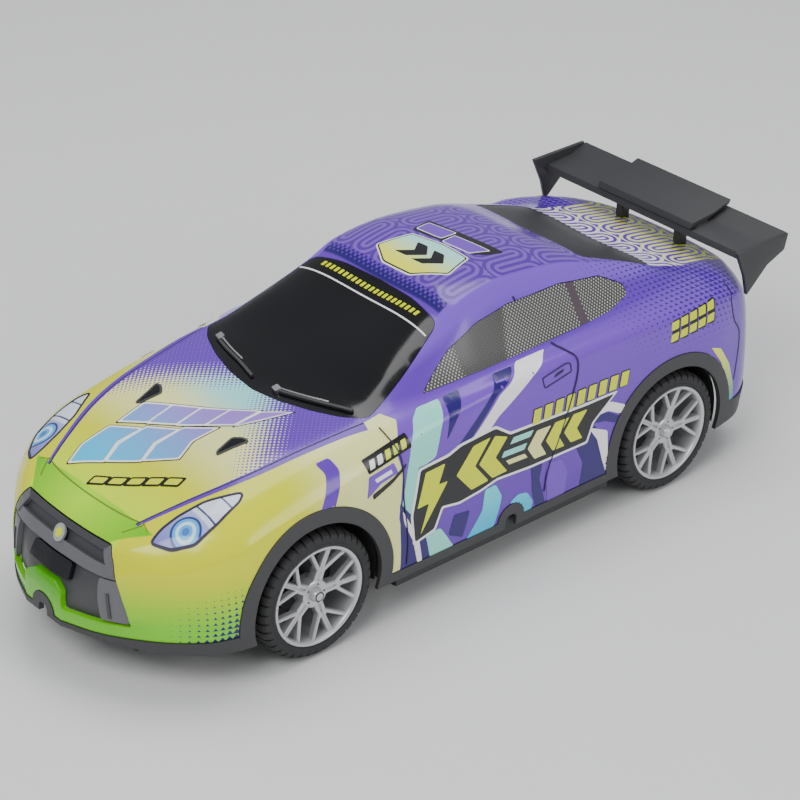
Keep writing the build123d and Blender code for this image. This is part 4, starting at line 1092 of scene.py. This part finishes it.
def ring_tree():
    """Geometry Nodes: the piece repeated evenly round the X axis."""
    tree = bpy.data.node_groups.new("repeat_round_axle", "GeometryNodeTree")
    face = tree.interface
    face.new_socket("Geometry", in_out="INPUT", socket_type="NodeSocketGeometry")
    copies = face.new_socket("Copies", in_out="INPUT", socket_type="NodeSocketInt")
    finish = face.new_socket("Finish", in_out="INPUT", socket_type="NodeSocketMaterial")
    face.new_socket("Geometry", in_out="OUTPUT", socket_type="NodeSocketGeometry")

    def node(kind, **sources):
        made = tree.nodes.new(kind)
        for key, source in sources.items():
            tree.links.new(source, made.inputs[key])
        return made.outputs

    given = node("NodeGroupInput")
    points = node("GeometryNodePoints", Count=given["Copies"])
    share = Wire(tree, node("GeometryNodeInputIndex")[0]).math("DIVIDE", given["Copies"])
    turn = node("ShaderNodeCombineXYZ", X=(share * (2 * math.pi)).out)
    placed = node("GeometryNodeInstanceOnPoints", Points=points[0], Instance=given["Geometry"], Rotation=turn[0])
    real = node("GeometryNodeRealizeInstances", Geometry=placed[0])
    paint = node("GeometryNodeSetMaterial", Geometry=real[0], Material=given["Finish"])
    node("NodeGroupOutput", Geometry=paint[0])
    return tree, copies.identifier, finish.identifier


RING_TREE, COPIES_ID, FINISH_ID = ring_tree()


def around(mesh, count, material):
    """A plain mesh of count copies round the X axis."""
    obj = shown("pattern", mesh)
    change = obj.modifiers.new("repeat", "NODES")
    change.node_group = RING_TREE
    change[COPIES_ID] = count
    change[FINISH_ID] = material
    graph = bpy.context.evaluated_depsgraph_get()
    result = bpy.data.meshes.new_from_object(obj.evaluated_get(graph))
    bpy.data.objects.remove(obj)
    return result


def wheel_copy(mesh, side, axle_y):
    """A copy of a left wheel part in its place on one axle end."""
    work = bmesh.new()
    work.from_mesh(mesh)
    for vert in work.verts:
        vert.co = Vector((vert.co.x * side, vert.co.y + axle_y * MM, vert.co.z + AXLE_Z * MM))
    if side < 0:
        bmesh.ops.reverse_faces(work, faces=work.faces)
    return settled(work, bpy.data.meshes.new("wheel_part"))


carcass = lathe([
    (48.6, 15.6), (48.95, 16.3), (49.0, 17.4), (48.7, 18.4), (47.6, 19.2), (45.8, 19.5), (40.2, 19.55),
    (34.6, 19.5), (32.8, 19.2), (31.7, 18.4), (31.4, 17.4), (31.45, 16.3), (31.8, 15.6), (33.4, 15.2), (47.0, 15.2),
])
bead = lathe([(48.95, 16.1), (49.15, 16.35), (49.15, 16.65), (48.95, 16.9), (48.7, 16.5)])


def tread_block(path, half_angle, thick=0.75):
    """A block over the crown: path is (x, r) along its top."""
    sections = []
    for a in np.radians([-half_angle, 0, half_angle]):
        loop = [(px, r) for px, r in path] + [(px, r - thick) for px, r in reversed(path)]
        sections.append([(px, r * math.cos(a), r * math.sin(a)) for px, r in loop])
    return bar_mesh(sections)


shoulder_path = [(48.95, 18.15), (48.6, 19.0), (47.7, 19.7), (46.4, 20.0), (43.9, 20.0)]
blocks = joined([
    tread_block(shoulder_path, 3.6),
    tread_block([(2 * WHEEL_MIDDLE_X - px, r) for px, r in reversed(shoulder_path)], 3.6),
])
middle_blocks = joined([tread_block([(x, 20.0), (x - 2.6, 20.0)], 3.2) for x in (43.2, 39.8)])
tyre = joined([carcass, bead, around(blocks, 40, rubber_finish), around(middle_blocks, 36, rubber_finish)])

barrel = lathe([
    (48.7, 15.7), (49.0, 15.55), (49.1, 15.2), (48.9, 14.75), (48.3, 14.45), (46.4, 14.3), (38.5, 13.5),
    (33.2, 13.8), (31.6, 15.2), (31.6, 15.7), (33.4, 15.7), (34.6, 15.0), (46.0, 15.0), (47.4, 15.7),
])
back_disc = lathe([
    (37.4, 13.6), (37.6, 12.8), (37.9, 8.8), (39.4, 8.4), (39.6, 3.0), (38.6, 0.05), (36.4, 0.05), (36.4, 13.6),
])
trunk = spoke((2.0, 0), (8.6, 0), (1.75, 1.35), 3.0, groove=0.6)
branches = [spoke((7.4, 0), (14.7, 0), (0.85, 0.8), 2.4, groove=0.3)]
for turn in (-1, 1):
    branches.append(spoke((7.0, turn * 3.0), (14.7, turn * 25), (0.62, 0.55), 2.0))
spokes = around(joined([trunk, *branches]), 5, rim_finish)
hub = lathe([
    (46.9, 1.7), (47.15, 2.1), (47.25, 2.3), (47.25, 3.9), (47.0, 4.3), (45.0, 4.5), (42.0, 4.5), (42.0, 1.7),
], 60)
lug = lathe([(47.3, 0.05), (47.3, 0.3), (47.2, 0.42), (46.5, 0.42), (46.5, 0.05)], 12)
for vert in lug.vertices:
    vert.co.y += 3.15 * MM
lugs = around(lug, 5, disc_finish)
rim = joined([spokes, hub])
cap = lathe([(46.5, 0.05), (49.35, 0.05), (49.3, 0.9), (49.1, 1.4), (48.7, 1.75), (48.0, 1.95), (46.5, 2.0)], 36)

for axle, y in (("front", FRONT_Y), ("rear", REAR_Y)):
    for side_name, side in (("left", 1), ("right", -1)):
        wheel, holder, nut = "rear_axle_set", "rear_axle_set", "rear_nuts"
        if axle == "front":
            wheel, holder, nut = f"front_{side_name}_wheel", f"{side_name}_knuckle", f"front_nut_{side_name}"
        for part, mesh, material, body, slot, nodes, sharp in (
            ("tyre_casing", tyre, rubber_finish, wheel, "tyre_rubber", [f"{axle}_tyre_{side_name}"], 28),
            ("rim_spokes", rim, rim_finish, wheel, "rim_grey", [f"{axle}_rim_{side_name}"], 28),
            ("rim_barrel", barrel, rim_finish, wheel, "rim_grey", (), 40),
            ("wheel_back", back_disc, disc_finish, wheel, "chassis_plastic", (), 40),
            ("wheel_cap", cap, rim_finish, holder, "steel", [nut], 32),
            ("wheel_bolts", lugs, disc_finish, wheel, "chassis_plastic", (), 32),
        ):
            piece(f"{axle}_{side_name}_{part}", wheel_copy(mesh, side, y), material, body, nodes, sharp)


# ---- wing and carried-over parts
def softened(node, name, width, material):
    """A CAD part with its sharp edges eased."""
    work = bmesh.new()
    work.from_mesh(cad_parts[node].data)
    bmesh.ops.remove_doubles(work, verts=work.verts, dist=1e-6)
    bmesh.ops.dissolve_limit(work, angle_limit=math.radians(2), verts=work.verts, edges=work.edges)
    edges = [e for e in work.edges if e.is_manifold and e.calc_face_angle(0) > math.radians(20)]
    bmesh.ops.bevel(work, geom=edges, offset=width * MM, segments=2, profile=0.6, affect="EDGES", clamp_overlap=True)
    piece(name, settled(work, bpy.data.meshes.new(name)), material, stands_for=[node], sharp=40)


for node in ("wing_blade", "wing_endplate_left", "wing_endplate_right", "wing_struts"):
    softened(node, "eased_" + node, 0.3, wing_finish)

plastic_finish = surface("black_chassis_plastic", (0.020, 0.020, 0.022), 0.5, 2400, 0.3, 0.2)
nylon_finish = surface("natural_nylon", (0.62, 0.60, 0.52), 0.42, 1800, 0.12, 0.08, Subsurface_Weight=0.05)
brass_finish = surface("turned_brass", (0.62, 0.42, 0.14), 0.28, 3500, 0.12, 0.05, Metallic=1.0)
wrap_finish = surface("cell_sleeve", (0.03, 0.16, 0.07), 0.3, 500, 0.25, 0.08, Coat_Weight=0.4)
board_finish = surface("solder_mask", (0.015, 0.12, 0.04), 0.32, 1200, 0.3, 0.1)
bulb_finish = surface("lamp_bulb", (0.85, 0.88, 0.86), 0.15, 1200, 0.08, 0.02)
FINISHES = {
    "chassis_plastic": plastic_finish, "dark_trim": trim_finish, "gear_plastic": nylon_finish,
    "pinion_brass": brass_finish, "steel": steel_finish, "cell_wrap": wrap_finish, "board": board_finish,
    "lamp_bulb": bulb_finish, "rim_grey": rim_finish, "tyre_rubber": rubber_finish, "painted_body": shell_finish,
    "clear_window": screen_finish, "lamp_lens": lamp_finish, "tail_lens": tail_finish,
}
for name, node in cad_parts.items():
    for entry in node.material_slots:
        key = next((k for k in FINISHES if entry.material and k in entry.material.name), "chassis_plastic")
        entry.material = FINISHES[key]

# ---- studio
floor_mesh = bpy.data.meshes.new("studio_floor")
FLOOR_HALF, FLOOR_Z = 6, -0.0002
floor_mesh.from_pydata([(a * FLOOR_HALF, b * FLOOR_HALF, FLOOR_Z) for a, b in ((-1, -1), (1, -1), (1, 1), (-1, 1))],
                       [], [(0, 1, 2, 3)])
floor = shown("studio_floor", floor_mesh)
floor_mesh.materials.append(surface("pale_floor", (0.78, 0.78, 0.77), 0.6, 300, 0.02, 0.0))
floor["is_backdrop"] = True

world = bpy.data.worlds.new("soft_room")
bpy.context.scene.world = world
world.use_nodes = True
background = world.node_tree.nodes["Background"]
background.inputs["Color"].default_value = (0.9, 0.93, 1.0, 1)
background.inputs["Strength"].default_value = 0.42


def lamp_panel(name, place, size, power):
    light = bpy.data.lights.new(name, "AREA")
    light.shape, light.size, light.size_y, light.energy = "RECTANGLE", size[0], size[1], power
    obj = shown(name, light)
    obj.location = place
    obj.rotation_euler = (Vector((0, 0, 0.04)) - Vector(place)).to_track_quat("-Z", "Y").to_euler()


lamp_panel("key_panel", (0.25, -0.75, 0.95), (0.7, 0.5), 8.0)
lamp_panel("top_panel", (-0.15, 0.25, 1.1), (0.9, 0.6), 7.0)
lamp_panel("side_panel", (1.1, 0.35, 0.5), (0.6, 0.5), 4.5)

LENS, SENSOR = 118.95, 36.0
CAMERA_PLACE = (0.533854, -0.450571, 0.436283)
AZIMUTH, ELEVATION = 49.4827, 29.6853
camera_data = bpy.data.cameras.new("camera")
camera_data.lens, camera_data.sensor_width = LENS, SENSOR
camera = shown("camera", camera_data)
camera.location = CAMERA_PLACE
camera.rotation_euler = (math.pi / 2 - math.radians(ELEVATION), 0, math.radians(AZIMUTH))
bpy.context.scene.camera = camera

low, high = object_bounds()
